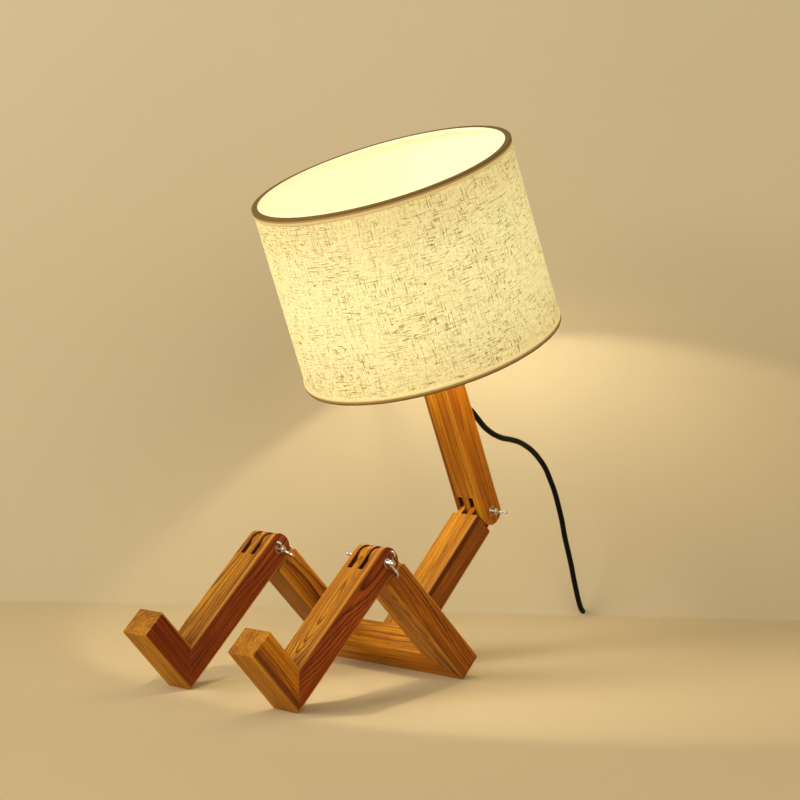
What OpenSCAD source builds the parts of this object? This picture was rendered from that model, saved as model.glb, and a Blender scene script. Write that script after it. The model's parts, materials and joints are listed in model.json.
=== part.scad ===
// A desk lamp in the shape of a seated figure: jointed wooden bars for legs and spine,
// held by wing bolts, with a linen drum shade for a head.
// The figure faces -Y, +X is its left side, and it rests on both heels and on its hip bar.

/* [Wooden bars] */
// Width of every bar, across the figure
bar_w = 28; // [22:0.5:36]
// Depth of every bar, front to back
bar_d = 24; // [20:0.5:30]
// Chamfer along the long edges of the bars
bar_edge = 0.8; // [0.3:0.1:1.5]
// Distance between the middle planes of the two legs
leg_spacing = 124; // [100:1:150]
// Thigh, from the hip bar's floor edge to the knee bolt
thigh_len = 132; // [115:1:150]
// Shin, from the knee bolt to the heel
shin_len = 136.5; // [125:0.5:150]
// Foot, from heel to toe
foot_len = 65; // [50:1:80]
// Lower spine, from the hip bar to the waist bolt
lower_spine_len = 134; // [115:1:150]
// Upper spine, from the waist bolt to its top end
upper_spine_len = 152; // [140:1:165]

/* [Pose of the frame] */
// Slope of the thighs above the floor, in degrees
seat_angle = 45; // [40:0.5:50]
// Forward lean of the upper spine from upright, in degrees
spine_lean = 22.5; // [10:0.5:30]

/* [Finger joints] */
// Width of each of the two slots
slot_w = 5; // [4:0.1:6]
// Width of the middle finger between the slots
middle_finger_w = 7; // [5:0.1:9]
// Depth of the slots past the bolt
slot_depth = 17.5; // [16:0.5:22]
// From the bolt to the square shoulder under the tongues
shoulder_drop = 13.5; // [12.5:0.1:16]
// How far the tongues' ends stay below the fingers' ends
tongue_drop = 1.6; // [0.5:0.1:2.5]
// Rounding of the shoulder's two edges
shoulder_round = 2.5; // [1:0.1:4]
// Room on each side of a tongue in its slot
tongue_play = 0.15; // [0.1:0.05:0.3]

/* [Bolts and wing nuts] */
// Diameter of the bolt shank
bolt_d = 4; // [3:0.5:6]
// Radial room of the bolt in the wood
bolt_play = 0.08; // [0.05:0.01:0.1]
// Radial room of the bolt in the wing nut and the washer
thread_play = 0.05; // [0.03:0.01:0.1]
// Diameter of the washer under the wing nut
washer_d = 8.5; // [7:0.5:12]
// Thickness of the washer
washer_t = 1; // [0.8:0.1:1.5]
// Diameter of the wings' hub where it meets the washer
hub_d = 7.4; // [6:0.1:9]
// Height of the hub
hub_h = 5; // [4:0.1:7]
// Reach of a wing from the bolt's axis
wing_reach = 10.6; // [8:0.1:13]
// Height of the wings above the wood
wing_h = 9.4; // [8:0.1:12]
// Thickness of the wings
wing_t = 1.8; // [1.4:0.1:2.5]
// Length of bolt that stands out of the wing nut
bolt_end = 1.5; // [1:0.5:4]

/* [Hip dowels] */
// Diameter of the two dowels that hold the spine on the hip bar
dowel_d = 8; // [6:0.5:9]
// Length of a dowel
dowel_len = 30; // [20:1:36]
// Distance between the two dowels
dowel_spacing = 13; // [11:0.5:15]
// Radial glue gap round a dowel
dowel_play = 0.05; // [0.03:0.01:0.1]

/* [Lamp holder and bulb] */
// Outer diameter of the threaded tube in the top of the spine
nipple_d = 10; // [8:0.5:12]
// Bore of the threaded tube
nipple_bore = 7; // [6:0.5:8]
// Length of the threaded tube inside the wood
nipple_depth = 18; // [12:1:22]
// Diameter of the holder's cup at its foot
cup_foot_d = 30; // [26:0.5:34]
// Diameter of the holder's cup at its rim
cup_rim_d = 38; // [37:0.5:42]
// Height of the holder's cup
cup_h = 18; // [15:0.5:22]
// Wall of the holder's cup and sleeve
holder_wall = 2; // [1.5:0.1:2.5]
// Outer diameter of the holder's threaded sleeve
sleeve_d = 39; // [38.5:0.1:40]
// Height of the holder's threaded sleeve
sleeve_h = 30; // [26:1:36]
// Diameter of the shoulder that carries the shade
shoulder_d = 45; // [43:0.5:48]
// Diameter of the bulb's screw cap
cap_d = 26.4; // [26:0.1:27]
// Height of the bulb's screw cap
cap_h = 24; // [22:0.5:27]
// Diameter of the frosted globe
globe_d = 45; // [40:0.5:50]
// Diameter of the shade ring nut
ring_nut_d = 53; // [50:0.5:56]
// Height of the shade ring nut
ring_nut_h = 7; // [6:0.5:10]

/* [Shade] */
// Outer radius of the linen at the bottom edge
shade_r_bottom = 109.4; // [100:0.1:118]
// How much the radius narrows towards the top edge
shade_taper = 1.6; // [0:0.1:12]
// Height of the shade
shade_h = 156; // [140:1:170]
// Height of the spine's top end above the shade's bottom edge
spine_in_shade = 2; // [0:0.5:8]
// Thickness of the linen
linen_t = 0.7; // [0.5:0.1:1]
// Thickness of the stiff liner
liner_t = 0.5; // [0.4:0.1:0.8]
// Gap between the layers of the shade
layer_gap = 0.1; // [0.05:0.01:0.2]
// Diameter of the wire of the rings and arms
wire_d = 2.4; // [2:0.1:3.5]
// Height of the binding outside the shade
binding_h = 5; // [4:0.5:8]
// Thickness of the binding
binding_t = 0.6; // [0.4:0.1:0.9]
// Thickness of the fitter ring
fitter_t = 1.6; // [1.2:0.1:2.5]

/* [Cord] */
// Diameter of the cord
cord_d = 5; // [4:0.1:5.5]
// Where the cord leaves the spine's back, from the waist bolt
cord_exit = 99; // [95:1:115]
// Slant of the cord's hole from the spine's axis, in degrees
cord_slant = 30; // [25:1:40]
// Outer diameter of the cord's bushing
bushing_d = 8; // [7:0.5:9]
// Length of bushing that stands out of the wood
bushing_out = 4; // [3:0.5:6]
// Turns in each layer of the coil
coil_turns = 3.5; // [2.5:1:4.5]
// Inner radius of the coil, at the middle of the cord
coil_r = 20; // [20:1:30]
// Distance from turn to turn and from layer to layer
coil_pitch = 5.5; // [5.5:0.1:7]
// Thickness of the tie round the coil
tie_t = 0.8; // [0.6:0.1:1.2]
// Width of the tie
tie_w = 10; // [6:1:14]

/* [Cord switch] */
// Length of the switch
switch_l = 58; // [52:1:66]
// Width of the switch
switch_w = 24; // [20:1:30]
// Height of the switch
switch_h = 15; // [13:0.5:18]
// Height of the joint between the two halves of the switch
switch_split = 7; // [6:0.5:8]
// Length of the rocker
rocker_l = 17; // [14:0.5:20]
// Width of the rocker
rocker_w = 10; // [8:0.5:12]
// Room round the rocker
rocker_play = 0.4; // [0.3:0.1:0.6]
// Tilt of the rocker to each side, in degrees
rocker_tilt = 7; // [5:0.5:9]

/* [Plug] */
// Width of the plug's face
plug_w = 35; // [33:0.5:37]
// Thickness of the plug
plug_t = 13.7; // [12:0.1:15]
// Length of the plug's body
plug_l = 34; // [30:1:38]
// Diameter of a pin
pin_d = 4; // [4:0.1:4.8]
// Length of a pin
pin_l = 19; // [17:0.5:20]
// Distance between the pins
pin_spacing = 18.6; // [18:0.1:19.2]

/* [Hidden] */
$fn = 48;

wood = [0.74, 0.42, 0.14];
end_wood = [0.66, 0.37, 0.13];
zinc = [0.78, 0.77, 0.74];
linen_colour = [0.93, 0.88, 0.70];
binding_colour = [0.60, 0.53, 0.41];
white_plastic = [0.93, 0.92, 0.88];
black_plastic = [0.06, 0.055, 0.05];
brass_colour = [0.78, 0.62, 0.30];

eps = 0.01;
half_d = bar_d / 2;
half_w = bar_w / 2;
slot_x = (middle_finger_w + slot_w) / 2;
tongue_w = slot_w - 2 * tongue_play;
cord_bore = bushing_d + 0.6;
bolt_bore = bolt_d + 2 * bolt_play;
thread_bore = bolt_d + 2 * thread_play;

// The knee stands at the end of the thigh, and the shin's slope follows from it,
// so that the heel always meets the floor.
knee_z = thigh_len * sin(seat_angle) + half_d * cos(seat_angle);
knee_y0 = -thigh_len * cos(seat_angle) + half_d * sin(seat_angle);
shin_angle = asin(knee_z / norm([shin_len, half_d])) - atan(half_d / shin_len);
heel_y0 = knee_y0 - shin_len * cos(shin_angle) + half_d * sin(shin_angle);
toe_y0 = heel_y0 - foot_len * sin(shin_angle);

// The lower spine stands square on the middle of the hip bar.
spine_foot_y0 = -half_w * cos(seat_angle) + bar_d * sin(seat_angle);
spine_foot_z = half_w * sin(seat_angle) + bar_d * cos(seat_angle);
waist_y0 = spine_foot_y0 + lower_spine_len * sin(seat_angle);
waist_z = spine_foot_z + lower_spine_len * cos(seat_angle);

// The origin lies under the middle of the lamp, front to back.
shade_foot = upper_spine_len - spine_in_shade;
binding_r = shade_r_bottom + layer_gap + binding_t;
back_y0 = waist_y0 - shade_foot * sin(spine_lean) + binding_r * cos(spine_lean);
shift_y = -(toe_y0 + back_y0) / 2;
knee_y = knee_y0 + shift_y;
waist_y = waist_y0 + shift_y;

// Unit vectors along the upper spine and out of its back.
spine_up = [0, -sin(spine_lean), cos(spine_lean)];
spine_back = [0, cos(spine_lean), sin(spine_lean)];
exit_dir = -cos(cord_slant) * spine_up + sin(cord_slant) * spine_back;
elbow_h = cord_exit + half_d / tan(cord_slant);
exit_point = [0, waist_y, waist_z] + cord_exit * spine_up + half_d * spine_back;
mouth = exit_point + bushing_out * exit_dir;

// What stands on the spine's top, measured up from that top.
insert_h = 10;
insert_z = cup_h - 12;
bulb_z = cup_h + 4;
tip_h = 2;
cap_z = bulb_z + tip_h;
neck_h = 20;
globe_z = cap_z + cap_h + neck_h + globe_d / 2 - 8;
shade_z = -spine_in_shade;
fitter_z = cup_h + holder_wall;
fitter_r = sleeve_d / 2 + 7.5;
ring_play = 0.3;

function linen_r(h) = shade_r_bottom - shade_taper * h / shade_h;
function liner_r(h) = linen_r(h) - linen_t - layer_gap;
function inside_r(h) = liner_r(h) - liner_t - layer_gap;
bottom_wire_h = wire_d / 2 + layer_gap + binding_t;
top_wire_h = shade_h - bottom_wire_h;

// Where the cord is put away: along this heading on the floor, from the switch's near end.
away_angle = 215;
away = [cos(away_angle), sin(away_angle), 0];
aside = [sin(away_angle), -cos(away_angle), 0];
switch_at = [-102, 348, 0];
switch_cord_z = 4.5;
link_len = 27;
coil_z = tie_t + 0.1 + cord_d / 2;
coil_out_r = coil_r + coil_pitch * coil_turns;
plug_from_coil = 42;
plug_relief = 22;
pin_root_d = pin_d + 1;
coil_in = switch_at + (switch_l + link_len) * away + [0, 0, coil_z];
coil_centre = [coil_in.x, coil_in.y, 0] + coil_out_r * aside;
coil_out = coil_in + [0, 0, coil_pitch];
plug_at = [coil_in.x, coil_in.y, 0] + (plug_from_coil + plug_relief) * away;

// The cord's way from the spine's back down to the floor and up to the switch.
drop_points = concat(
    [mouth, mouth + 8 * exit_dir],
    [
        [-1, 130, 207], [-3, 141, 199], [-6, 153, 191], [-9, 167, 184.5],
        [-12, 182, 180], [-15, 197, 177.5], [-18, 211, 174.5], [-22, 225, 170],
        [-25, 238, 164], [-28, 250, 156.5], [-30, 261, 147], [-33, 271, 136],
        [-35, 280, 123.5], [-37, 288, 109], [-38, 294, 95], [-40, 300, 81],
        [-41.5, 306.5, 67], [-43, 313, 53], [-45, 319, 40], [-47, 325, 28],
        [-49, 331, 17], [-51.3, 337.5, 8], [-55, 345.5, 3.2], [-61.5, 353, 2.5],
        [-69.5, 358.5, 2.5], [-78, 360, 2.5], [-86, 358, 3]
    ],
    [for (back = [9, 3, 0]) switch_at - back * away + [0, 0, switch_cord_z - (back > 3 ? 0.5 : 0)]]
);
link_points = [
    switch_at + switch_l * away + [0, 0, switch_cord_z],
    switch_at + (switch_l + link_len / 3) * away + [0, 0, switch_cord_z],
    coil_in - (cord_d + link_len / 6) * away,
    coil_in - cord_d * away
];
tail_points = [
    coil_out + cord_d * away,
    coil_out + (cord_d + 3) * away,
    coil_out + (plug_from_coil * 0.35) * away - [0, 0, 0.8],
    coil_out + (plug_from_coil * 0.5) * away - [0, 0, 2],
    coil_out + (plug_from_coil * 0.7) * away - [0, 0, 2.4],
    plug_at - (plug_relief + 4) * away + [0, 0, plug_t / 2],
    plug_at - plug_relief * away + [0, 0, plug_t / 2]
];

// The coil: in along the lower layer, up a layer while the spiral turns back, out along the upper one.
loop_steps = 24;
coil_steps = 2 * coil_turns * loop_steps;
function smooth(t) = t <= 0 ? 0 : t >= 1 ? 1 : t * t * (3 - 2 * t);
function coil_point(i) =
    let (turn = i / loop_steps - coil_turns,
         r = coil_r + coil_pitch * abs(turn),
         a = -360 * turn)
    coil_centre
    + r * (-aside * cos(a + 360 * coil_turns) - away * sin(a + 360 * coil_turns))
    + [0, 0, coil_z + coil_pitch * smooth(2 * turn + 0.5)];
coil_points = concat(
    [coil_in - cord_d * away],
    [for (i = [0 : coil_steps]) coil_point(i)],
    [coil_out + cord_d * away]
);
coil_gap = min([
    for (i = [0 : coil_steps - loop_steps / 2], j = [i + loop_steps / 2 : coil_steps])
        norm(coil_point(i) - coil_point(j))
]) - cord_d;
echo(coil_gap = coil_gap);

function unit(v) = v / norm(v);
function path_len(p, i = 1) = i >= len(p) ? 0 : norm(p[i] - p[i - 1]) + path_len(p, i + 1);
echo(cord_length = path_len(drop_points) + switch_l + path_len(link_points)
    + path_len(coil_points) + path_len(tail_points));

// Tangents of a path, and a side vector for each that doesn't spin about the path.
function tangents(p) = let (n = len(p)) [
    for (i = [0 : n - 1]) i == 0 ? unit(p[1] - p[0]) : i == n - 1 ? unit(p[n - 1] - p[n - 2])
        : unit(unit(p[i + 1] - p[i]) + unit(p[i] - p[i - 1]))
];
function square_to(v, t) = unit(v - (v * t) * t);
function sides(t, first) = [
    for (i = 0, s = square_to(first, t[0]); i < len(t);
        i = i + 1, s = i < len(t) ? square_to(s, t[i]) : s) s
];

// A closed tube along a path, of n sides.
module tube(p, d, n, first = [1, 0, 0]) {
    t = tangents(p);
    s = sides(t, first);
    rings = [
        for (i = [0 : len(p) - 1], k = [0 : n - 1])
            p[i] + d / 2 * (cos(360 * k / n) * s[i] + sin(360 * k / n) * cross(t[i], s[i]))
    ];
    last = (len(p) - 1) * n;
    walls = [
        for (i = [0 : len(p) - 2], k = [0 : n - 1])
            let (a = i * n + k, b = i * n + (k + 1) % n) each [[a, a + n, b], [b, a + n, b + n]]
    ];
    caps = [for (k = [1 : n - 2]) each [[0, k, k + 1], [last, last + k + 1, last + k]]];
    polyhedron(concat(rings, [p[0], p[len(p) - 1]]), concat(walls, caps));
}

// Places.
module at_knee(side) translate([side * leg_spacing / 2, knee_y, knee_z]) children();
module at_waist() translate([0, waist_y, waist_z]) children();
module along_thigh() rotate([-seat_angle, 0, 0]) children();
module along_shin() rotate([180 + shin_angle, 0, 0]) children();
module along_lower_spine() rotate([270 - seat_angle, 0, 0]) children();
module along_upper_spine() rotate([90 + spine_lean, 0, 0]) children();
module on_spine_top(h = 0) at_waist() along_upper_spine()
    translate([0, upper_spine_len + h, 0]) rotate([-90, 0, 0]) children();
module on_floor(at) translate(at) rotate([0, 0, away_angle]) children();

// Bars, drawn along +Y from the bolt at the origin.
function bar_section(w, d) = let (x = w / 2, y = d / 2, e = bar_edge) [
    [x - e, -y], [x, -y + e], [x, y - e], [x - e, y], [-x + e, y], [-x, y - e], [-x, -y + e], [-x + e, -y]
];
module bar_along_y(from, to) translate([0, from, 0]) rotate([-90, 0, 0])
    linear_extrude(to - from) polygon(bar_section(bar_w, bar_d));
module from_the_side(w = bar_w) rotate([90, 0, 90]) linear_extrude(w, center = true) children();
module bolt_hole() rotate([0, 90, 0]) cylinder(d = bolt_bore, h = bar_w + 2, center = true);

// A bar's end with three round fingers and two slots.
module finger_bar(len) difference() {
    intersection() {
        bar_along_y(-bar_d, len);
        union() {
            from_the_side(bar_w + 2) circle(d = bar_d, $fn = 64);
            from_the_side(bar_w + 2) translate([0, -half_d]) square([len, bar_d]);
        }
    }
    for (side = [-1, 1])
        translate([side * slot_x - slot_w / 2, -bar_d, -bar_d])
            cube([slot_w, bar_d + slot_depth, 2 * bar_d]);
    bolt_hole();
}

// A bar's end with two round tongues on a square shoulder.
module tongue_bar(len) difference() {
    union() {
        intersection() {
            bar_along_y(0, len);
            from_the_side(bar_w + 2) shoulder_outline(len);
        }
        for (side = [-1, 1])
            translate([side * slot_x, 0, 0]) from_the_side(tongue_w) hull() {
                circle(d = bar_d - 2 * tongue_drop, $fn = 64);
                translate([shoulder_drop, -half_d]) square([shoulder_round, bar_d]);
            }
    }
    bolt_hole();
}

module shoulder_outline(len) {
    far = shoulder_drop + shoulder_round;
    translate([far, -half_d]) square([len - far, bar_d]);
    translate([shoulder_drop, -half_d + shoulder_round])
        square([shoulder_round + eps, bar_d - 2 * shoulder_round]);
    for (side = [-1, 1])
        translate([far, side * (half_d - shoulder_round)]) circle(r = shoulder_round, $fn = 32);
}

// Seat frame: two thighs mitred to the hip bar.
module thigh(side) color(wood) at_knee(side) along_thigh() difference() {
    tongue_bar(thigh_len);
    translate([0, thigh_len - half_w, 0]) mirror([side > 0 ? 0 : 1, 0, 0])
        linear_extrude(bar_d + 2, center = true)
            polygon([[-half_w - 1, -half_w - 1], [half_w + 1, half_w + 1], [-half_w - 1, half_w + 1]]);
}
module left_thigh() thigh(1);
module right_thigh() thigh(-1);

module hip_bar() color(wood) translate([0, knee_y, knee_z]) along_thigh() {
    outer = leg_spacing / 2 + half_w;
    inner = leg_spacing / 2 - half_w;
    e = bar_edge;
    difference() {
        intersection() {
            linear_extrude(bar_d, center = true) polygon([
                [-outer, thigh_len], [outer, thigh_len],
                [inner, thigh_len - bar_w], [-inner, thigh_len - bar_w]
            ]);
            translate([0, thigh_len, 0]) from_the_side(2 * outer + 2) polygon([
                [0, -half_d], [0, half_d - e], [-e, half_d],
                [-bar_w + e, half_d], [-bar_w, half_d - e],
                [-bar_w, -half_d + e], [-bar_w + e, -half_d]
            ]);
        }
        translate([0, thigh_len - half_w, half_d]) dowel_holes();
    }
}

module dowel_holes() for (side = [-1, 1])
    translate([side * dowel_spacing / 2, 0, 0])
        cylinder(d = dowel_d + 2 * dowel_play, h = dowel_len + 2, center = true);

module lower_spine() color(wood) at_waist() along_lower_spine() difference() {
    tongue_bar(lower_spine_len);
    translate([0, lower_spine_len, 0]) rotate([90, 0, 0]) dowel_holes();
}

module spine_dowels() color(end_wood) at_waist() along_lower_spine()
    translate([0, lower_spine_len, 0]) rotate([90, 0, 0])
        for (side = [-1, 1])
            translate([side * dowel_spacing / 2, 0, 0]) cylinder(d = dowel_d, h = dowel_len, center = true);

// Legs: a shin with its fingers at the knee, and a foot mitred to its heel.
module shin(side) color(wood) at_knee(side) along_shin() difference() {
    finger_bar(shin_len);
    translate([0, shin_len - half_d, 0]) from_the_side(bar_w + 2)
        polygon([[-half_d - 1, -half_d - 1], [half_d + 1, half_d + 1], [half_d + 1, -half_d - 1]]);
}
module left_shin() shin(1);
module right_shin() shin(-1);

module foot(side) color(wood) at_knee(side) along_shin() translate([0, shin_len - half_d, 0])
    intersection() {
        translate([0, 0, half_d - foot_len]) linear_extrude(foot_len) polygon(bar_section(bar_w, bar_d));
        from_the_side(bar_w + 2) polygon([
            [-half_d, -half_d], [half_d, half_d], [half_d, half_d - foot_len - 1], [-half_d, half_d - foot_len - 1]
        ]);
    }
module left_foot() foot(1);
module right_foot() foot(-1);

// Upper spine: fingers at the waist, a bore down from the top and the cord's slanted hole.
module upper_spine() color(wood) at_waist() along_upper_spine() difference() {
    finger_bar(upper_spine_len);
    translate([0, elbow_h - 4, 0]) rotate([-90, 0, 0])
        cylinder(d = cord_bore, h = upper_spine_len);
    translate([0, upper_spine_len - nipple_depth - 0.5, 0]) rotate([-90, 0, 0])
        cylinder(d = nipple_d + 2 * thread_play, h = nipple_depth + 1);
    translate([0, elbow_h, 0]) rotate([90 + cord_slant, 0, 0])
        cylinder(d = bushing_d + 0.2, h = 2 * bar_d);
}

// Wing bolt, washer and wing nut, drawn along +X from the middle of the joint.
module wings(hub_from) {
    translate([hub_from, 0, 0]) rotate([0, 90, 0]) {
        cylinder(d = hub_d, h = 1.5);
        translate([0, 0, 1.5]) cylinder(d1 = hub_d, d2 = hub_d - 1.6, h = hub_h - 1.5);
    }
    tip_r = 2.4;
    for (side = [0, 180]) rotate([side, 0, 0]) translate([hub_from, 0, 0])
        linear_extrude(wing_t, center = true) union() {
            polygon([
                [1, 0], [1, hub_d / 2], [wing_h - 2 * tip_r - 0.6, wing_reach - 1],
                [wing_h - tip_r, wing_reach], [wing_h, wing_reach - tip_r], [hub_h - 0.5, hub_d / 2 - 1.2],
                [hub_h - 0.5, 0]
            ]);
            translate([wing_h - tip_r, wing_reach - tip_r]) circle(r = tip_r, $fn = 32);
        }
}

module wing_bolt(turn) color(zinc) rotate([turn, 0, 0]) {
    mirror([1, 0, 0]) wings(half_w);
    translate([-half_w - 1, 0, 0]) rotate([0, 90, 0])
        cylinder(d = bolt_d, h = bar_w + washer_t + hub_h + bolt_end + 1);
}

module wing_nut(turn) color(zinc) rotate([turn, 0, 0]) difference() {
    wings(half_w + washer_t);
    rotate([0, 90, 0]) cylinder(d = thread_bore, h = 2 * bar_w);
}

module washer() color(zinc) translate([half_w, 0, 0]) rotate([0, 90, 0]) difference() {
    cylinder(d = washer_d, h = washer_t);
    translate([0, 0, -1]) cylinder(d = thread_bore, h = washer_t + 2);
}

left_nut_turn = 102;
right_nut_turn = -40;
waist_nut_turn = -10;
left_bolt_turn = 147;
right_bolt_turn = 43;
waist_bolt_turn = 45;
module left_knee_bolt() at_knee(1) wing_bolt(left_bolt_turn);
module right_knee_bolt() at_knee(-1) wing_bolt(right_bolt_turn);
module waist_bolt() at_waist() wing_bolt(waist_bolt_turn);
module left_knee_wing_nut() at_knee(1) wing_nut(left_nut_turn);
module right_knee_wing_nut() at_knee(-1) wing_nut(right_nut_turn);
module waist_wing_nut() at_waist() wing_nut(waist_nut_turn);
module left_knee_washer() at_knee(1) washer();
module right_knee_washer() at_knee(-1) washer();
module waist_washer() at_waist() washer();

// Lamp holder and bulb, on the upper spine's axis.
module threaded_tube() color(brass_colour) on_spine_top(-nipple_depth) difference() {
    cylinder(d = nipple_d, h = nipple_depth + holder_wall + 3);
    translate([0, 0, -1]) cylinder(d = nipple_bore, h = nipple_depth + 30);
}

module holder_cup() color(white_plastic) on_spine_top() rotate_extrude() polygon([
    [nipple_d / 2 + thread_play, 0], [cup_foot_d / 2 - 1, 0], [cup_foot_d / 2, 1],
    [cup_rim_d / 2, cup_h - 6], [cup_rim_d / 2, cup_h],
    [cup_rim_d / 2 - holder_wall, cup_h], [cup_rim_d / 2 - holder_wall, cup_h - 6],
    [cup_foot_d / 2 - holder_wall, holder_wall + 1], [cup_foot_d / 2 - holder_wall - 1, holder_wall],
    [nipple_d / 2 + thread_play, holder_wall]
]);

module holder_insert() color(white_plastic) on_spine_top(insert_z + 2) difference() {
    cylinder(r = cup_foot_d / 2 - holder_wall + 0.8, h = insert_h);
    translate([0, 0, insert_h - 1.5]) cylinder(r = cap_d / 2 - 3, h = 2);
}

module holder_contact() color(brass_colour) on_spine_top(insert_z + insert_h + 0.5) {
    cylinder(r = 4, h = 1);
    translate([0, 0, 1 - eps]) cylinder(r = 2.5, h = bulb_z - insert_z - insert_h - 1.5);
}

module holder_sleeve() color(white_plastic) on_spine_top(cup_h) difference() {
    union() {
        cylinder(d = shoulder_d, h = holder_wall);
        cylinder(d = sleeve_d, h = sleeve_h);
    }
    translate([0, 0, -1]) cylinder(d = cap_d + 1.6, h = sleeve_h + 2);
}

module shade_ring_nut() color(white_plastic) on_spine_top(fitter_z + fitter_t) difference() {
    cylinder(d = ring_nut_d, h = ring_nut_h);
    translate([0, 0, -1]) cylinder(d = sleeve_d + 2 * ring_play, h = ring_nut_h + 2);
    for (i = [0 : 11]) rotate([0, 0, 30 * i]) translate([ring_nut_d / 2 + 0.6, 0, -1])
        cylinder(r = 2.4, h = ring_nut_h + 2, $fn = 24);
}

module bulb_cap() color(zinc) on_spine_top(bulb_z) {
    cylinder(r = 4.5, h = tip_h);
    translate([0, 0, tip_h - eps]) cylinder(r1 = 8, r2 = cap_d / 2, h = 3);
    translate([0, 0, tip_h + 3 - 2 * eps]) cylinder(d = cap_d, h = cap_h - 3);
}

module bulb_neck() color(white_plastic) on_spine_top(cap_z + cap_h) rotate_extrude() polygon([
    [0, 0], [cap_d / 2, 0], [cap_d / 2 + 0.6, 2], [globe_d / 2 - 5, neck_h - 4],
    [globe_d / 2 - 4, neck_h - 1], [globe_d / 2 - 4, neck_h], [0, neck_h]
]);

module bulb_globe() color([0.98, 0.97, 0.92]) on_spine_top(globe_z) difference() {
    sphere(d = globe_d, $fn = 64);
    translate([0, 0, -globe_d - globe_z + cap_z + cap_h + neck_h])
        cylinder(d = 2 * globe_d, h = globe_d);
}

// Shade: a wire frame with three arms, a stiff liner, the linen and two bindings.
module wire_ring(h) {
    r = inside_r(h) - wire_d / 2 - layer_gap;
    translate([0, 0, shade_z + h]) rotate_extrude() translate([r, 0]) circle(d = wire_d, $fn = 24);
}

module shade_frame() color(zinc) on_spine_top() {
    wire_ring(bottom_wire_h);
    translate([0, 0, fitter_z]) difference() {
        cylinder(r = fitter_r, h = fitter_t);
        translate([0, 0, -1]) cylinder(r = sleeve_d / 2 + ring_play, h = fitter_t + 2);
    }
    rim_r = inside_r(bottom_wire_h) - wire_d / 2 - layer_gap;
    arm_h = bottom_wire_h + 0.9 * wire_d;
    rise = fitter_z + fitter_t / 2 - shade_z - arm_h;
    run = rim_r - fitter_r + 1.5;
    for (i = [0 : 2]) rotate([0, 0, 120 * i + 30])
        translate([rim_r, 0, shade_z + arm_h]) rotate([0, -atan(run / rise), 0])
            cylinder(d = wire_d, h = norm([run, rise]), $fn = 24);
}

module shade_top_ring() color(zinc) on_spine_top() wire_ring(top_wire_h);

module shade_liner() color([0.97, 0.95, 0.86]) on_spine_top(shade_z) rotate_extrude($fn = 96) polygon([
    [liner_r(0) - liner_t, 0], [liner_r(0), 0],
    [liner_r(shade_h), shade_h], [liner_r(shade_h) - liner_t, shade_h]
]);

module shade_linen() color(linen_colour) on_spine_top(shade_z) rotate_extrude($fn = 96) polygon([
    [linen_r(0) - linen_t, 0], [linen_r(0), 0],
    [linen_r(shade_h), shade_h], [linen_r(shade_h) - linen_t, shade_h]
]);

// A binding folded over an edge: h0 is the edge, and up is the way into the shade.
module binding(h0, up) {
    g = layer_gap;
    t = binding_t;
    inner_h = wire_d + g;
    wire_r = inside_r(h0) - wire_d - 2 * g;
    end = h0 - up * g;
    points = [
        [wire_r - t, end - up * t], [linen_r(h0) + g + t, end - up * t],
        [linen_r(h0 + up * binding_h) + g + t, h0 + up * binding_h],
        [linen_r(h0 + up * binding_h) + g, h0 + up * binding_h],
        [linen_r(h0) + g, end], [wire_r, end], [wire_r, h0 + up * inner_h], [wire_r - t, h0 + up * inner_h]
    ];
    translate([0, 0, shade_z]) rotate_extrude($fn = 96) polygon(points);
}
module top_binding() color(binding_colour) on_spine_top() binding(shade_h, -1);
module bottom_binding() color(binding_colour) on_spine_top() binding(0, 1);

// Cord, its bushing and its run inside the spine.
module slanted_out(from, length, d) at_waist() along_upper_spine()
    translate([0, elbow_h, 0]) rotate([90 + cord_slant, 0, 0]) translate([0, 0, from]) cylinder(d = d, h = length);
slant_len = half_d / sin(cord_slant);

module cord_bushing() color(black_plastic) difference() {
    slanted_out(slant_len - 8, 8 + bushing_out, bushing_d);
    slanted_out(slant_len - 9, 10 + bushing_out, cord_d + 0.4);
}

module inner_cord() color(black_plastic) {
    slanted_out(0, slant_len + bushing_out, cord_d);
    at_waist() along_upper_spine() translate([0, elbow_h, 0]) {
        sphere(d = cord_d);
        rotate([-90, 0, 0]) cylinder(d = cord_d, h = upper_spine_len + insert_z + 2 - elbow_h);
    }
}

module cord_drop() color(black_plastic) tube(drop_points, cord_d, 8);
module cord_link() color(black_plastic) tube(link_points, cord_d, 8, [0, 0, 1]);
module cord_coil() color(black_plastic) tube(coil_points, cord_d, 6, [0, 0, 1]);
module cord_tail() color(black_plastic) tube(tail_points, cord_d, 8, [0, 0, 1]);

// The tie: a flat band round all the turns, a quarter turn on from where the cord comes in.
module cord_tie() color(black_plastic) {
    near_r = coil_r - cord_d / 2 - 1.4;
    far_r = coil_out_r + cord_d / 2 + 0.4;
    tall = coil_pitch + cord_d + 0.2;
    translate(coil_centre) rotate([0, 0, away_angle]) translate([0, 0, tie_t])
        rotate([90, 0, 90]) linear_extrude(tie_w, center = true) difference() {
            tie_outline(near_r - tie_t, far_r + tie_t, -tie_t, tall + tie_t, 3);
            tie_outline(near_r, far_r, 0, tall, 3 - tie_t);
        }
}
module tie_outline(x0, x1, y0, y1, r) {
    translate([x0 + r, y0]) square([x1 - x0 - 2 * r, y1 - y0]);
    translate([x0, y0 + r]) square([x1 - x0, y1 - y0 - 2 * r]);
    for (x = [x0 + r, x1 - r], y = [y0 + r, y1 - r]) translate([x, y]) circle(r = r, $fn = 32);
}

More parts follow.
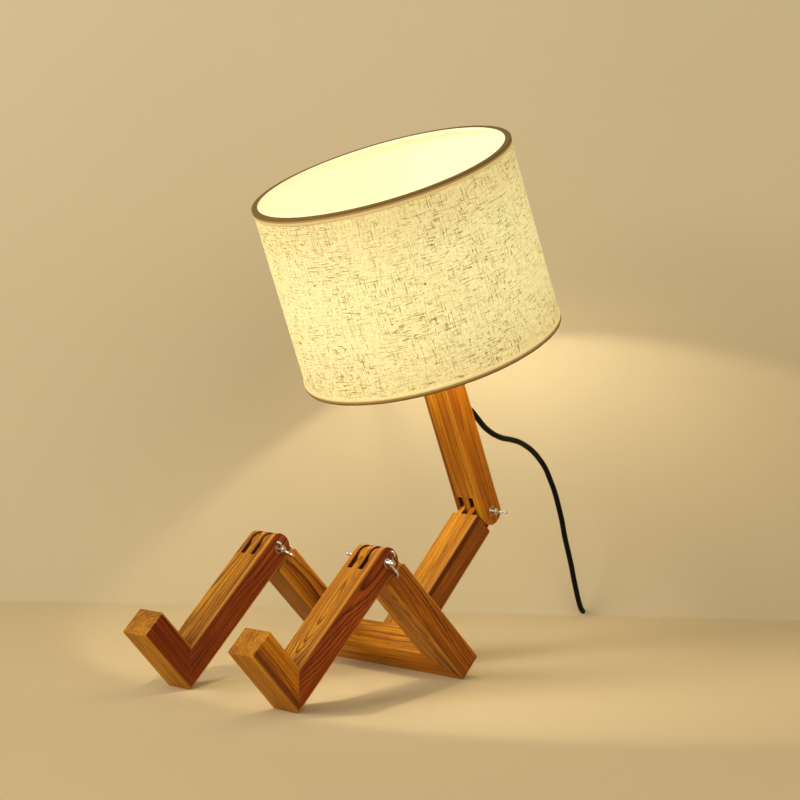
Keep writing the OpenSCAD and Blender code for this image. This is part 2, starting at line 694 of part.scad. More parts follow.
// Cord switch, drawn along +X from the end where the cord comes in.
module switch_outline(inset = 0) {
    translate([switch_w / 2, -switch_w / 2 + inset]) square([switch_l - switch_w, switch_w - 2 * inset]);
    for (x = [switch_w / 2, switch_l - switch_w / 2]) translate([x, 0]) circle(d = switch_w - 2 * inset);
    translate([inset, -cord_d]) square([switch_l - 2 * inset, 2 * cord_d]);
}

module switch_base() color(black_plastic) on_floor(switch_at) {
    linear_extrude(switch_split - 1) switch_outline();
    translate([0, 0, switch_split - 1 - eps]) linear_extrude(1 + eps) switch_outline(0.5);
}

pivot_z = switch_h - 4;
rocker_r = norm([rocker_l / 2, switch_h + 1.2 - pivot_z]);
module switch_cover() color(black_plastic) on_floor(switch_at) difference() {
    intersection() {
        translate([0, 0, switch_split]) linear_extrude(switch_h - switch_split) switch_outline();
        crown_r = 80;
        translate([switch_l / 2, 0, switch_h - crown_r]) rotate([90, 0, 0])
            cylinder(r = crown_r, h = switch_w + 2, center = true, $fn = 128);
    }
    translate([switch_l / 2 - rocker_l / 2 - rocker_play, -rocker_w / 2 - rocker_play, switch_split + 1])
        cube([rocker_l + 2 * rocker_play, rocker_w + 2 * rocker_play, switch_h]);
    translate([switch_l / 2, 0, pivot_z]) rotate([90, 0, 0])
        cylinder(d = 2 + 2 * thread_play, h = rocker_w + 4, center = true);
}

module switch_rocker() color(white_plastic) on_floor(switch_at) translate([switch_l / 2, 0, pivot_z])
    rotate([0, rocker_tilt, 0]) {
        difference() {
            intersection() {
                translate([-rocker_l / 2, -rocker_w / 2, -1.8]) cube([rocker_l, rocker_w, 7]);
                rotate([90, 0, 0]) cylinder(r = rocker_l / 2 - 0.1, h = rocker_w + 2, center = true, $fn = 64);
            }
            translate([0, 0, 24 + 3.2]) rotate([90, 0, 0]) cylinder(r = 24, h = rocker_w + 2, center = true, $fn = 96);
        }
        rotate([90, 0, 0]) cylinder(d = 2, h = rocker_w + 3, center = true);
    }

// Plug, drawn along +X from the end where the cord comes in.
module plug_body() color(black_plastic) on_floor(plug_at + [0, 0, plug_t / 2]) difference() {
    union() {
        translate([-plug_relief, 0, 0]) rotate([0, 90, 0]) cylinder(r1 = cord_d / 2 + 0.8, r2 = 5.5, h = plug_relief + 1);
        intersection() {
            linear_extrude(plug_t, center = true) polygon([
                [0, -6], [12, -8], [22, -plug_w / 2 + 1], [plug_l, -plug_w / 2 + 4],
                [plug_l, plug_w / 2 - 4], [22, plug_w / 2 - 1], [12, 8], [0, 6]
            ]);
            rotate([90, 0, 0]) linear_extrude(plug_w, center = true) polygon([
                [0, -5.4], [8, -plug_t / 2], [plug_l, -plug_t / 2], [plug_l, plug_t / 2], [8, plug_t / 2], [0, 5.4]
            ]);
        }
    }
    for (side = [-1, 1]) translate([plug_l - 8, side * pin_spacing / 2, 0]) rotate([0, 90, 0])
        cylinder(d = pin_root_d + 0.1, h = 9);
}

module plug_pins() color(zinc) on_floor(plug_at + [0, 0, plug_t / 2])
    for (side = [-1, 1]) translate([plug_l - 7.9, side * pin_spacing / 2, 0]) rotate([0, 90, 0]) {
        cylinder(d = pin_root_d, h = 7.9);
        cylinder(d = pin_d, h = pin_l + 7.9 - 1);
        translate([0, 0, pin_l + 6.9]) cylinder(d1 = pin_d, d2 = pin_d - 1.6, h = 1);
    }

left_thigh();
right_thigh();
hip_bar();
lower_spine();
spine_dowels();
left_shin();
left_foot();
right_shin();
right_foot();
upper_spine();
left_knee_bolt();
right_knee_bolt();
waist_bolt();
left_knee_wing_nut();
right_knee_wing_nut();
waist_wing_nut();
left_knee_washer();
right_knee_washer();
waist_washer();
threaded_tube();
holder_cup();
holder_insert();
holder_contact();
holder_sleeve();
shade_ring_nut();
bulb_cap();
bulb_neck();
bulb_globe();
shade_frame();
shade_top_ring();
shade_liner();
shade_linen();
top_binding();
bottom_binding();
cord_bushing();
inner_cord();
cord_drop();
cord_link();
cord_coil();
cord_tail();
cord_tie();
switch_base();
switch_cover();
switch_rocker();
plug_body();
plug_pins();
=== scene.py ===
"""Looks of a desk lamp in the shape of a seated figure.

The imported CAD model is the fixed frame, and this script gives it its surfaces: oiled wood, zinc
hardware, a lit linen shade and a black cord. Lengths are in metres, in the model's own frame:
the figure faces -Y, +X is its left-hand side and +Z is up.
"""
from __future__ import annotations

import json
import logging
import math
from dataclasses import dataclass, field
from enum import Enum
from typing import Any, Sequence

import bpy
from mathutils import Matrix, Vector


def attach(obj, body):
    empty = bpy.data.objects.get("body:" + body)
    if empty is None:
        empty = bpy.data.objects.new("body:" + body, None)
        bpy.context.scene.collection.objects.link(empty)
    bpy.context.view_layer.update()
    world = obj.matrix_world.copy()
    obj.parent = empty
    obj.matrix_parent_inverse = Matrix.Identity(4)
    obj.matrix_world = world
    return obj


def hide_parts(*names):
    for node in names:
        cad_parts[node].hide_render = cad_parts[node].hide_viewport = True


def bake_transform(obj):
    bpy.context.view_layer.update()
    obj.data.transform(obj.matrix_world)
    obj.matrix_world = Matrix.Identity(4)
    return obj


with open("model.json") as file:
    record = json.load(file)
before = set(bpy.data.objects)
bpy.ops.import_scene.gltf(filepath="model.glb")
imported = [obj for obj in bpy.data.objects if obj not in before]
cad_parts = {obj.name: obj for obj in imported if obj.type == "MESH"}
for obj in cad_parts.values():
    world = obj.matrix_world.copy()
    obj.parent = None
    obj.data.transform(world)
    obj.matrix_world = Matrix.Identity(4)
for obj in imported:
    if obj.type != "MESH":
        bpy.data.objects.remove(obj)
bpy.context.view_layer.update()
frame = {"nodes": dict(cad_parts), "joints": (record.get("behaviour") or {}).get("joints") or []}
log = logging.getLogger("lamp")

Point = tuple[float, float, float]
Colour = tuple[float, float, float]
Piece = bpy.types.Object
Material = bpy.types.Material

MM = 0.001
BAR_HALF_WIDTH = 0.014
BAR_HALF_DEPTH = 0.012
PINCHED_JOINTS = ("left_knee", "right_knee", "waist")
LINER_PAPER = (0.80, 0.74, 0.52)
BLACK = (0.016, 0.016, 0.017)
TURN_POINTS = 24


def joint_place(name: str) -> Vector:
    """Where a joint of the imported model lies.

    Args:
        name: the joint's name in the record.

    Returns:
        The joint's point at rest.
    """
    return Vector(next(j for j in frame["joints"] if j["name"] == name)["pos_m"])


# ---------------------------------------------------------------- shader sums

class Signal:
    """A node's output that takes part in Python sums."""

    def __init__(self, recipe: "Recipe", socket: bpy.types.NodeSocket) -> None:
        """Keeps the socket and the recipe that its nodes go into."""
        self.recipe, self.socket = recipe, socket

    def maths(self, operation: str, *others: "Signal | float", first: bool = True) -> "Signal":
        """One Math node.

        Args:
            operation: the node's operation.
            others: its other values.
            first: whether this signal is the first value.

        Returns:
            The node's result.
        """
        values = [self, *others] if first else [*others, self]
        return self.recipe.add("ShaderNodeMath", {"operation": operation}, dict(enumerate(values)))

    def __add__(self, other: "Signal | float") -> "Signal":
        """Sum."""
        return self.maths("ADD", other)

    __radd__ = __add__

    def __sub__(self, other: "Signal | float") -> "Signal":
        """Difference."""
        return self.maths("SUBTRACT", other)

    def __rsub__(self, other: float) -> "Signal":
        """Difference from a number."""
        return self.maths("SUBTRACT", other, first=False)

    def __mul__(self, other: "Signal | float") -> "Signal":
        """Product."""
        return self.maths("MULTIPLY", other)

    __rmul__ = __mul__

    def __truediv__(self, other: "Signal | float") -> "Signal":
        """Quotient."""
        return self.maths("DIVIDE", other)

    def __pow__(self, other: float) -> "Signal":
        """Power."""
        return self.maths("POWER", other)

    def __abs__(self) -> "Signal":
        """Size without sign."""
        return self.maths("ABSOLUTE")

    def fraction(self) -> "Signal":
        """What is left over the whole number below."""
        return self.maths("FRACT")

    def at_most(self, high: float) -> "Signal":
        """Never more than a number."""
        return self.maths("MINIMUM", high)

    def step(self, low: float, high: float) -> "Signal":
        """A smooth step.

        Args:
            low: where the result is 0.
            high: where the result is 1; it may be below low.

        Returns:
            A signal from 0 to 1.
        """
        turned = high < low
        settings = {"interpolation_type": "SMOOTHSTEP", "clamp": True}
        sockets = {0: self, 1: min(low, high), 2: max(low, high),
                   3: float(turned), 4: float(not turned)}
        return self.recipe.add("ShaderNodeMapRange", settings, sockets)


class Recipe:
    """A material and the nodes that make it."""

    def __init__(self, name: str) -> None:
        """Starts an empty material.

        Args:
            name: the material's name.
        """
        self.material = bpy.data.materials.new(name)
        self.material.use_nodes = True
        self.tree = self.material.node_tree
        self.tree.nodes.clear()
        self.finish = self.tree.nodes.new("ShaderNodeOutputMaterial")

    def add(self, kind: str, settings: dict[str, Any] | None = None,
            sockets: dict[Any, Any] | None = None, out: int | str = 0) -> Signal:
        """Adds a node.

        Args:
            kind: the node's type.
            settings: its properties, set before the sockets.
            sockets: values or signals by socket name or number.
            out: which output is wanted.

        Returns:
            The output as a signal.
        """
        node = self.tree.nodes.new(kind)
        for key, value in (settings or {}).items():
            setattr(node, key, value)
        for key, value in (sockets or {}).items():
            if isinstance(value, Signal):
                self.tree.links.new(value.socket, node.inputs[key])
            elif node.inputs[key].type == "RGBA" and len(value) == 3:
                node.inputs[key].default_value = (*value, 1.0)
            else:
                node.inputs[key].default_value = value
        return Signal(self, node.outputs[out])

    def place(self) -> Signal:
        """The point in the frame."""
        return self.add("ShaderNodeTexCoord", out="Object")

    def parts(self, vector: Signal) -> tuple[Signal, Signal, Signal]:
        """A vector's three numbers."""
        split = self.add("ShaderNodeSeparateXYZ", sockets={0: vector})
        return tuple(Signal(self, s) for s in split.socket.node.outputs)

    def join(self, x: Signal | float, y: Signal | float, z: Signal | float = 0.0) -> Signal:
        """Three numbers as a vector."""
        return self.add("ShaderNodeCombineXYZ", sockets={0: x, 1: y, 2: z})

    def noise(self, vector: Signal, scale: float, detail: float = 2.0,
              roughness: float = 0.5) -> Signal:
        """Soft noise around one half.

        Args:
            vector: where it is read.
            scale: how fine it is.
            detail: how many finer layers it has.
            roughness: how strong they are.

        Returns:
            A signal from 0 to 1.
        """
        return self.add("ShaderNodeTexNoise", {}, {"Vector": vector, "Scale": scale,
                                                  "Detail": detail, "Roughness": roughness})

    def noise_at(self, x: Signal, y: Signal | float, z: Signal | float = 0.0,
                 detail: float = 2.0, roughness: float = 0.5) -> Signal:
        """Soft noise read at three numbers, in waves."""
        return self.noise(self.join(x, y, z), 1.0, detail, roughness)

    def mix(self, share: Signal | float, first: Any, second: Any, blend: str = "MIX") -> Signal:
        """Two colours mixed.

        Args:
            share: how much of the second there is.
            first: the first colour.
            second: the second colour.
            blend: the kind of mixing.

        Returns:
            The colour.
        """
        settings = {"data_type": "RGBA", "blend_type": blend}
        return self.add("ShaderNodeMix", settings, {0: share, 6: first, 7: second}, out=2)

    def times(self, colour: Any, other: Any) -> Signal:
        """Two colours multiplied."""
        return self.mix(1.0, colour, other, "MULTIPLY")

    def dimmed(self, colour: Any, strength: Signal) -> Signal:
        """A colour multiplied by a number."""
        return self.times(colour, self.join(strength, strength, strength))

    def bump(self, height: Signal, distance: float) -> Signal:
        """A normal from a height, whose 1 is a distance in metres."""
        return self.add("ShaderNodeBump", {}, {"Height": height, "Distance": distance})

    def surface(self, **sockets: Any) -> Material:
        """Ends the recipe with a Principled surface.

        Args:
            sockets: its values, with underscores for spaces.

        Returns:
            The material.
        """
        named = {key.replace("_", " "): value for key, value in sockets.items()}
        shader = self.add("ShaderNodeBsdfPrincipled", {}, named)
        self.tree.links.new(shader.socket, self.finish.inputs["Surface"])
        return self.material


# ------------------------------------------------------------------- finishes

@dataclass(frozen=True)
class OiledWood:
    """Oiled golden-brown wood, cut from one side of a tree.

    Attributes:
        name: the bar's name.
        origin: a point on the bar's axis.
        slope: the bar's slope in the YZ plane, from +Y to +Z.
        across: whether the bar runs along X instead.
        pith: where the tree's middle lies beside the bar, across and in depth.
        drift: how fast the rings wander over along the bar, across and in depth.
        ring: the width of a year's ring.
        tone: how light the bar is.
        side: what its sides that face left and right are multiplied by, a painted shade.
        figure: how strong the rings' lines are.
        sway: how far the rings wander sideways, in metres.
        streak: where a dark streak runs along the bar, across and in depth, if there is one.
        seed: what sets its noise apart.
        pale: its lightest colour, before the tone.
        golden: its common colour.
        fibre_brown: the colour of its coarser fibres.
        band_brown: the colour of its broad bands.
        ring_brown: the colour of the rings' late wood.
        pore_brown: the colour of its pores.
        streak_brown: the colour of the streak.
        painted_slot_shade: painted shade, near black, deep in the joints' slots.
        rubbed: the colour of its rubbed corners, wear and a painted highlight.
    """

    name: str
    origin: Point
    slope: float
    across: bool = False
    pith: tuple[float, float] = (0.004, -0.03)
    drift: tuple[float, float] = (0.02, 0.08)
    ring: float = 0.0034
    tone: float = 1.0
    side: Colour = (0.85, 0.72, 0.70)
    figure: float = 1.0
    sway: float = 0.011
    streak: tuple[float, float] | None = None
    seed: float = 0.0
    pale: Colour = (0.690, 0.304, 0.011)
    golden: Colour = (0.470, 0.178, 0.006)
    fibre_brown: Colour = (0.270, 0.082, 0.003)
    band_brown: Colour = (0.270, 0.064, 0.003)
    ring_brown: Colour = (0.150, 0.036, 0.002)
    pore_brown: Colour = (0.100, 0.022, 0.002)
    streak_brown: Colour = (0.120, 0.026, 0.002)
    painted_slot_shade: Colour = (0.020, 0.006, 0.002)
    rubbed: Colour = (0.70, 0.340, 0.040)

    def bar_axes(self, recipe: Recipe) -> tuple[Signal, Signal, Signal]:
        """The place in the bar.

        Args:
            recipe: what the nodes go into.

        Returns:
            How far along, across and deep a point is.
        """
        turn = Matrix.Rotation(-self.slope, 3, "X")
        shift = -(turn @ Vector(self.origin))
        local = recipe.add("ShaderNodeMapping", {}, {
            "Vector": recipe.place(), "Location": tuple(shift),
            "Rotation": (-self.slope, 0.0, 0.0)})
        x, y, z = recipe.parts(local)
        return (x, y, z) if self.across else (y, x, z)

    def grain(self, recipe: Recipe, place: tuple[Signal, Signal, Signal], long: float,
              fine: float, detail: float = 1.0, shift: float = 0.0) -> Signal:
        """Noise drawn out along the bar.

        Args:
            recipe: what the nodes go into.
            place: how far along, across and deep a point is.
            long: waves in a metre along the bar.
            fine: waves in a metre across it.
            detail: how many finer layers there are.
            shift: what sets one noise apart from another.

        Returns:
            A signal from 0 to 1.
        """
        along, across, deep = place
        return recipe.noise_at(along * long + self.seed + shift, across * fine, deep * fine,
                               detail, 0.6)

    def material(self) -> Material:
        """Makes the material.

        Returns:
            The material.
        """
        recipe = Recipe(f"wood_{self.name}")
        place = along, across, deep = self.bar_axes(recipe)
        bend_across = self.grain(recipe, place, 8.0, 26.0) - 0.5
        bend_deep = self.grain(recipe, place, 8.0, 26.0, shift=7.3) - 0.5
        from_pith = self.distance(
            across - self.pith[0] + along * self.drift[0] + bend_across * self.sway,
            deep - self.pith[1] + along * self.drift[1] + bend_deep * self.sway)
        fibre = self.grain(recipe, place, 16.0, 760.0, 2.0)
        uneven = recipe.noise_at(from_pith * 150.0, self.seed, detail=1.0)
        year = (from_pith / self.ring + uneven * 2.4 + fibre * 0.3).fraction()
        late = year.step(0.40, 0.93) * year.step(1.0, 0.95)
        shown = self.grain(recipe, place, 7.0, 45.0, shift=3.1).step(0.32, 0.62) * 0.65 + 0.35
        rings = late * shown * self.figure
        pores = self.grain(recipe, place, 95.0, 1500.0, shift=1.7).step(0.60, 0.74)
        bands = self.grain(recipe, place, 3.5, 120.0, 2.0, shift=5.9).step(0.46, 0.68)
        cloud = self.grain(recipe, place, 9.0, 40.0, 2.0, shift=9.2)
        base = recipe.mix(cloud.step(0.3, 0.7), self.tint(self.pale), self.tint(self.golden))
        for share, brown in ((fibre.step(0.38, 0.68) * 0.7, self.fibre_brown),
                             (bands * 0.55, self.band_brown),
                             (rings.at_most(1.0), self.ring_brown),
                             (pores * 0.75, self.pore_brown)):
            base = recipe.mix(share, base, self.tint(brown))
        if self.streak:
            off_streak = self.distance(across - self.streak[0] + bend_across * 0.008,
                                       deep - self.streak[1] + bend_deep * 0.008)
            near = (off_streak + (fibre - 0.5) * 0.0016).step(0.0048, 0.0022)
            base = recipe.mix(near * 0.85, base, self.tint(self.streak_brown))
        # Painted shade: faces that look left or right are made darker and redder by the side
        # colour.
        facing = abs(recipe.parts(recipe.add("ShaderNodeTexCoord", out="Normal"))[0])
        on_side = facing.step(0.5, 0.95)
        base = recipe.mix(on_side, base, recipe.times(base, self.side))
        if not self.across:
            # Painted shade: side faces deep inside the joints' slots are darkened nearly to black.
            inner = abs(across).step(BAR_HALF_WIDTH - 0.0006, BAR_HALF_WIDTH - 0.0010)
            base = recipe.mix(on_side * inner * 0.75, base, self.painted_slot_shade)
            # Wear and painted highlight: the long edges are lightened with the rubbed colour.
            edge = BAR_HALF_WIDTH + BAR_HALF_DEPTH
            corner = (abs(across) + abs(deep)).step(edge - 0.0024, edge - 0.0008)
            base = recipe.mix(corner * (0.2 + 0.35 * cloud), base, self.rubbed)
        height = fibre * 0.35 - rings * 0.3 - pores
        rough = 0.42 + fibre * 0.14 + pores * 0.2
        return recipe.surface(Base_Color=base, Roughness=rough, Specular_IOR_Level=0.16,
                              Normal=recipe.bump(height, 0.00014))

    @staticmethod
    def distance(across: Signal, deep: Signal) -> Signal:
        """How far off the bar's length a point lies."""
        return (across * across + deep * deep) ** 0.5

    def tint(self, colour: Colour) -> Colour:
        """A colour made darker or lighter with the bar's tone."""
        return tuple(min(1.0, c * self.tone) for c in colour)


@dataclass(frozen=True)
class PlatedMetal:
    """Bright plated metal with fine scratches and dull spots.

    Attributes:
        name: the finish's name.
        colour: the bright metal's colour.
        rough: its lowest roughness.
        worn: how bright the dull spots are beside it.
    """

    name: str
    colour: Colour = (0.72, 0.71, 0.68)
    rough: float = 0.22
    worn: float = 0.62

    def material(self) -> Material:
        """Makes the material.

        Returns:
            The material.
        """
        recipe = Recipe(self.name)
        place = recipe.place()
        mottle = recipe.noise(place, 900.0, 3.0, 0.6)
        fine = recipe.noise(place, 3200.0, 2.0)
        dull = tuple(c * self.worn for c in self.colour)
        base = recipe.mix(mottle.step(0.45, 0.75) * 0.5, self.colour, dull)
        return recipe.surface(Base_Color=base, Metallic=1.0,
                              Roughness=self.rough + mottle * 0.18 + fine * 0.08,
                              Normal=recipe.bump(fine + mottle, 0.00005))


@dataclass(frozen=True)
class MouldedPlastic:
    """Moulded plastic with a faint texture, slightly uneven in colour.

    Attributes:
        name: the finish's name.
        colour: its darker colour.
        rough: its lowest roughness.
        gloss: how strongly it reflects.
        grain: the texture's depth.
    """

    name: str
    colour: Colour
    rough: float = 0.4
    gloss: float = 0.5
    grain: float = 0.00004

    def material(self) -> Material:
        """Makes the material.

        Returns:
            The material.
        """
        recipe = Recipe(self.name)
        place = recipe.place()
        cloud = recipe.noise(place, 60.0, 2.0)
        fine = recipe.noise(place, 2600.0, 2.0)
        lighter = tuple(min(1.0, c * 1.3 + 0.001) for c in self.colour)
        base = recipe.mix(cloud.step(0.3, 0.7) * 0.6, self.colour, lighter)
        return recipe.surface(Base_Color=base, Roughness=self.rough + fine * 0.12,
                              Specular_IOR_Level=self.gloss, Normal=recipe.bump(fine, self.grain))


@dataclass(frozen=True)
class LitGlobe:
    """The bulb's frosted cover, glowing warm.

    Attributes:
        colour: the colour of its light.
        strength: how strongly it shines.
    """

    colour: Colour = (1.0, 0.84, 0.50)
    strength: float = 6.0

    def material(self) -> Material:
        """Makes the material.

        Returns:
            The material.
        """
        recipe = Recipe("lit_globe")
        cloud = recipe.noise(recipe.place(), 90.0, 2.0)
        base = recipe.mix(cloud, (0.93, 0.92, 0.88), (0.97, 0.96, 0.93))
        glow = recipe.mix(cloud, self.colour, tuple(c * 0.97 for c in self.colour))
        return recipe.surface(Base_Color=base, Roughness=0.35, Emission_Color=glow,
                              Emission_Strength=self.strength)


@dataclass(frozen=True)
class LitLinen:
    """Linen lit from inside. Its UV map holds metres round and up the shade.

    Attributes:
        radius: the shade's radius.
        bulb_height: how high the bulb stands over the lower edge.
        glow: the light that comes through, at its brightest.
        weave: from one yarn to the next but one.
        cloth, cloth_deep: the colours of the fine yarns.
        gap: the colour between them.
        slub: the colour of the thick yarns.
        knot: the colour of the knots.
        lit, lit_deep: the light's colour through the fine yarns.
        lit_slub: its colour through thick yarns and knots.
        lit_far: what it is multiplied by far from the bulb.
    """

    radius: float
    bulb_height: float
    glow: float = 0.525
    weave: float = 0.0011
    cloth: Colour = (0.76, 0.69, 0.39)
    cloth_deep: Colour = (0.60, 0.50, 0.20)
    gap: Colour = (0.52, 0.42, 0.17)
    slub: Colour = (0.22, 0.18, 0.03)
    knot: Colour = (0.12, 0.09, 0.03)
    lit: Colour = (0.97, 0.92, 0.48)
    lit_deep: Colour = (0.82, 0.65, 0.22)
    lit_slub: Colour = (0.20, 0.16, 0.01)
    lit_far: Colour = (1.0, 0.86, 0.78)

    def slubs(self, recipe: Recipe, run: Signal, rise: Signal, shift: float) -> Signal:
        """Thick yarns in one direction of the weave.

        Args:
            recipe: what the nodes go into.
            run: metres along the yarns.
            rise: metres across them.
            shift: what sets one set of yarns apart.

        Returns:
            How much thicker a yarn is, from 0 to 1.
        """
        lump = recipe.noise_at((run + shift) * 125.0, rise * 900.0, roughness=0.6)
        long = recipe.noise_at((run + shift) * 40.0, rise * 1000.0 + 5.0, detail=1.0)
        patch = recipe.noise_at((run + shift) * 30.0, rise * 30.0, detail=1.0)
        marks = lump.step(0.56, 0.67) * (0.30 + 0.70 * patch.step(0.35, 0.65))
        return (marks + long.step(0.62, 0.74) * 0.6).at_most(1.0)

    def material(self) -> Material:
        """Makes the material.

        Returns:
            The material.
        """
        recipe = Recipe("lit_linen")
        u, v, _ = recipe.parts(recipe.add("ShaderNodeTexCoord", out="UV"))
        waves = 2 * math.pi / self.weave
        weave = (u * waves).maths("SINE") * (v * waves).maths("SINE") * 0.5 + 0.5
        level = self.slubs(recipe, u, v, 0.0)
        upright = self.slubs(recipe, v, u, 3.7)
        thick = (level + upright * 0.9).at_most(1.0)
        haze = recipe.noise_at(u * 520.0, v * 520.0, detail=3.0, roughness=0.65)
        knots = recipe.noise_at(u * 330.0, v * 330.0, 4.0, detail=0.0).step(0.80, 0.86)
        thin_out = recipe.noise_at(u * 35.0, v * 35.0)
        reach = (v - self.bulb_height) / self.radius
        near = (1.0 + reach * reach) ** -0.8
        yarn = (recipe.noise_at(u * 170.0, v * 1500.0, 2.0, detail=1.0)
                + recipe.noise_at(u * 1500.0, v * 170.0, 6.0, detail=1.0)) * 0.5
        cloth = recipe.mix(haze.step(0.35, 0.7) * 0.6, self.cloth, self.cloth_deep)
        cloth = recipe.mix((1.0 - yarn.step(0.38, 0.62)) * 0.35, cloth, self.gap)
        cloth = recipe.mix(thick * 0.95, cloth, self.slub)
        cloth = recipe.mix(knots * 0.8, cloth, self.knot)
        lit = recipe.mix(haze.step(0.32, 0.68) * 0.75, self.lit, self.lit_deep)
        lit = recipe.mix((thick + knots).at_most(1.0), lit, self.lit_slub)
        lit = recipe.mix(abs(reach).step(0.30, 0.74), lit, recipe.times(lit, self.lit_far))
        strength = near * (0.88 + 0.3 * thin_out) * (0.30 + 1.4 * yarn) * self.glow
        relief = weave * 0.35 + thick + haze * 0.3
        return recipe.surface(Base_Color=cloth, Roughness=0.9, Specular_IOR_Level=0.2,
                              Normal=recipe.bump(relief, 0.00018), Emission_Strength=1.0,
                              Emission_Color=recipe.dimmed(lit, strength))


@dataclass(frozen=True)
class LitLiner:
    """The stiff liner inside the shade, bright from the bulb.

    Attributes:
        glow: how strongly it shines.
    """

    glow: float = 0.28

    def material(self) -> Material:
        """Makes the material.

        Returns:
            The material.
        """
        recipe = Recipe("lit_liner")
        cloud = recipe.noise(recipe.place(), 22.0, 2.0)
        fine = recipe.noise(recipe.place(), 1500.0, 2.0)
        base = recipe.mix(cloud, LINER_PAPER, (0.86, 0.80, 0.60))
        lit = recipe.mix(cloud, (1.0, 0.87, 0.48), (1.0, 0.91, 0.55))
        return recipe.surface(Base_Color=base, Roughness=0.55, Normal=recipe.bump(fine, 0.00003),
                              Emission_Color=recipe.times(lit, (self.glow,) * 3),
                              Emission_Strength=1.0)


@dataclass(frozen=True)
class WovenTape:
    """Binding tape with a fine rib. Its UV map holds metres along and up the shade.

    Attributes:
        name: the finish's name.
        edge: the height of the edge that it is folded over.
        up: 1 at the lower edge, -1 at the upper one.
        rim: its colour on the very edge, on the lower tape a painted shade.
        rim_width: how far the rim's colour goes down the outside.
        rim_inside: the radius within which the tape is painted as pale as the lit liner.
        glow: the light that comes through beyond the wire.
        cloth, cloth_deep: the colours of its rib.
        thread: the colour of its worn threads.
        wired, wire_shadow_deep: the rib's colours as a painted shadow of the wire behind it.
        lit: the colour of the light through it.
        lit_inside: the light of its inner face.
    """

    name: str
    edge: float
    up: float
    rim: Colour
    rim_width: float
    rim_inside: float
    glow: float = 0.35
    cloth: Colour = (0.72, 0.58, 0.29)
    cloth_deep: Colour = (0.56, 0.42, 0.18)
    thread: Colour = (0.36, 0.26, 0.09)
    wire_shadow: Colour = (0.48, 0.29, 0.09)
    wire_shadow_deep: Colour = (0.38, 0.22, 0.06)
    lit: Colour = (1.0, 0.80, 0.34)
    lit_inside: Colour = (0.30, 0.276, 0.160)

    def material(self) -> Material:
        """Makes the material.

        Returns:
            The material.
        """
        recipe = Recipe(self.name)
        u, v, _ = recipe.parts(recipe.add("ShaderNodeTexCoord", out="UV"))
        inward = (v - self.edge) * self.up
        spread = recipe.parts(recipe.add("ShaderNodeUVMap", {"uv_map": "spread"}))[0]
        inside = spread.step(self.rim_inside - 0.0001, self.rim_inside - 0.0004)
        rib = (u * (2 * math.pi / 0.0008) + v * 2500.0).maths("SINE") * 0.5 + 0.5
        worn = recipe.noise_at(u * 90.0, v * 300.0, detail=3.0)
        threads = recipe.noise_at(u * 150.0, v * 1100.0).step(0.55, 0.7)
        cloth = recipe.mix(rib * 0.3, self.cloth, self.cloth_deep)
        cloth = recipe.mix(threads * 0.5, cloth, self.thread)
        # Painted shadow of the wire ring: the tape is darker and more orange in front of the wire.
        wire_shadow = recipe.mix(rib * 0.3, self.wire_shadow, self.wire_shadow_deep)
        rubbed = tuple(c * 1.3 for c in self.rim)
        rim = recipe.mix(worn.step(0.35, 0.7) * 0.4, self.rim, rubbed)
        width = self.rim_width
        base = recipe.mix(inward.step(width, width + 0.0006), rim, wire_shadow)
        base = recipe.mix(inward.step(width + 0.0012, width + 0.0024), base, cloth)
        # Painted light: the tape's inner face takes the liner's pale colour, and below its glow.
        base = recipe.mix(inside, base, LINER_PAPER)
        glow = recipe.dimmed(self.lit, inward.step(0.0022, 0.0034) * self.glow)
        glow = recipe.mix(inside, glow, self.lit_inside)
        return recipe.surface(Base_Color=base, Roughness=0.85, Specular_IOR_Level=0.2,
                              Normal=recipe.bump(rib + worn, 0.00012), Emission_Color=glow,
                              Emission_Strength=1.0)


# -------------------------------------------------------------- modelling aid

def deselect_all() -> None:
    """Leaves edit mode and deselects everything."""
    if bpy.context.mode != "OBJECT":
        bpy.ops.object.mode_set(mode="OBJECT")
    bpy.ops.object.select_all(action="DESELECT")


def make_active(piece: Piece) -> None:
    """Makes a piece the only one selected, and the active one.

    Args:
        piece: the object.
    """
    deselect_all()
    piece.select_set(True)
    bpy.context.view_layer.objects.active = piece


def added(name: str) -> Piece:
    """Names the object that was just made.

    Args:
        name: its name.

    Returns:
        The object.
    """
    piece = bpy.context.active_object
    piece.name = piece.data.name = name
    return piece


def settle(piece: Piece, place: Matrix | None = None) -> Piece:
    """Puts a piece in its place and brings the place into its mesh.

    Args:
        piece: the object.
        place: where it goes.

    Returns:
        The object.
    """
    make_active(piece)
    if place is not None:
        piece.matrix_world = place @ piece.matrix_world
    bpy.ops.object.transform_apply(location=True, rotation=True, scale=True)
    return piece


def modify(piece: Piece, kind: str, **settings: Any) -> None:
    """Adds a modifier and applies it.

    Args:
        piece: the object.
        kind: the modifier's type.
        settings: its properties.
    """
    make_active(piece)
    modifier = piece.modifiers.new(kind.lower(), kind)
    for key, value in settings.items():
        setattr(modifier, key, value)
    bpy.ops.object.modifier_apply(modifier=modifier.name)


def joined(pieces: Sequence[Piece], name: str) -> Piece:
    """Joins pieces into one object of a new name.

    Args:
        pieces: the objects.
        name: the new object's name.

    Returns:
        The new object.
    """
    make_active(pieces[0])
    for piece in pieces:
        piece.select_set(True)
    bpy.ops.object.join()
    return added(name)


def outward(piece: Piece) -> None:
    """Merges doubles and points the faces outwards.

    Args:
        piece: the object.
    """
    make_active(piece)
    bpy.ops.object.mode_set(mode="EDIT")
    bpy.ops.mesh.select_all(action="SELECT")
    bpy.ops.mesh.remove_doubles(threshold=1e-6)
    bpy.ops.mesh.normals_make_consistent(inside=False)
    bpy.ops.object.mode_set(mode="OBJECT")


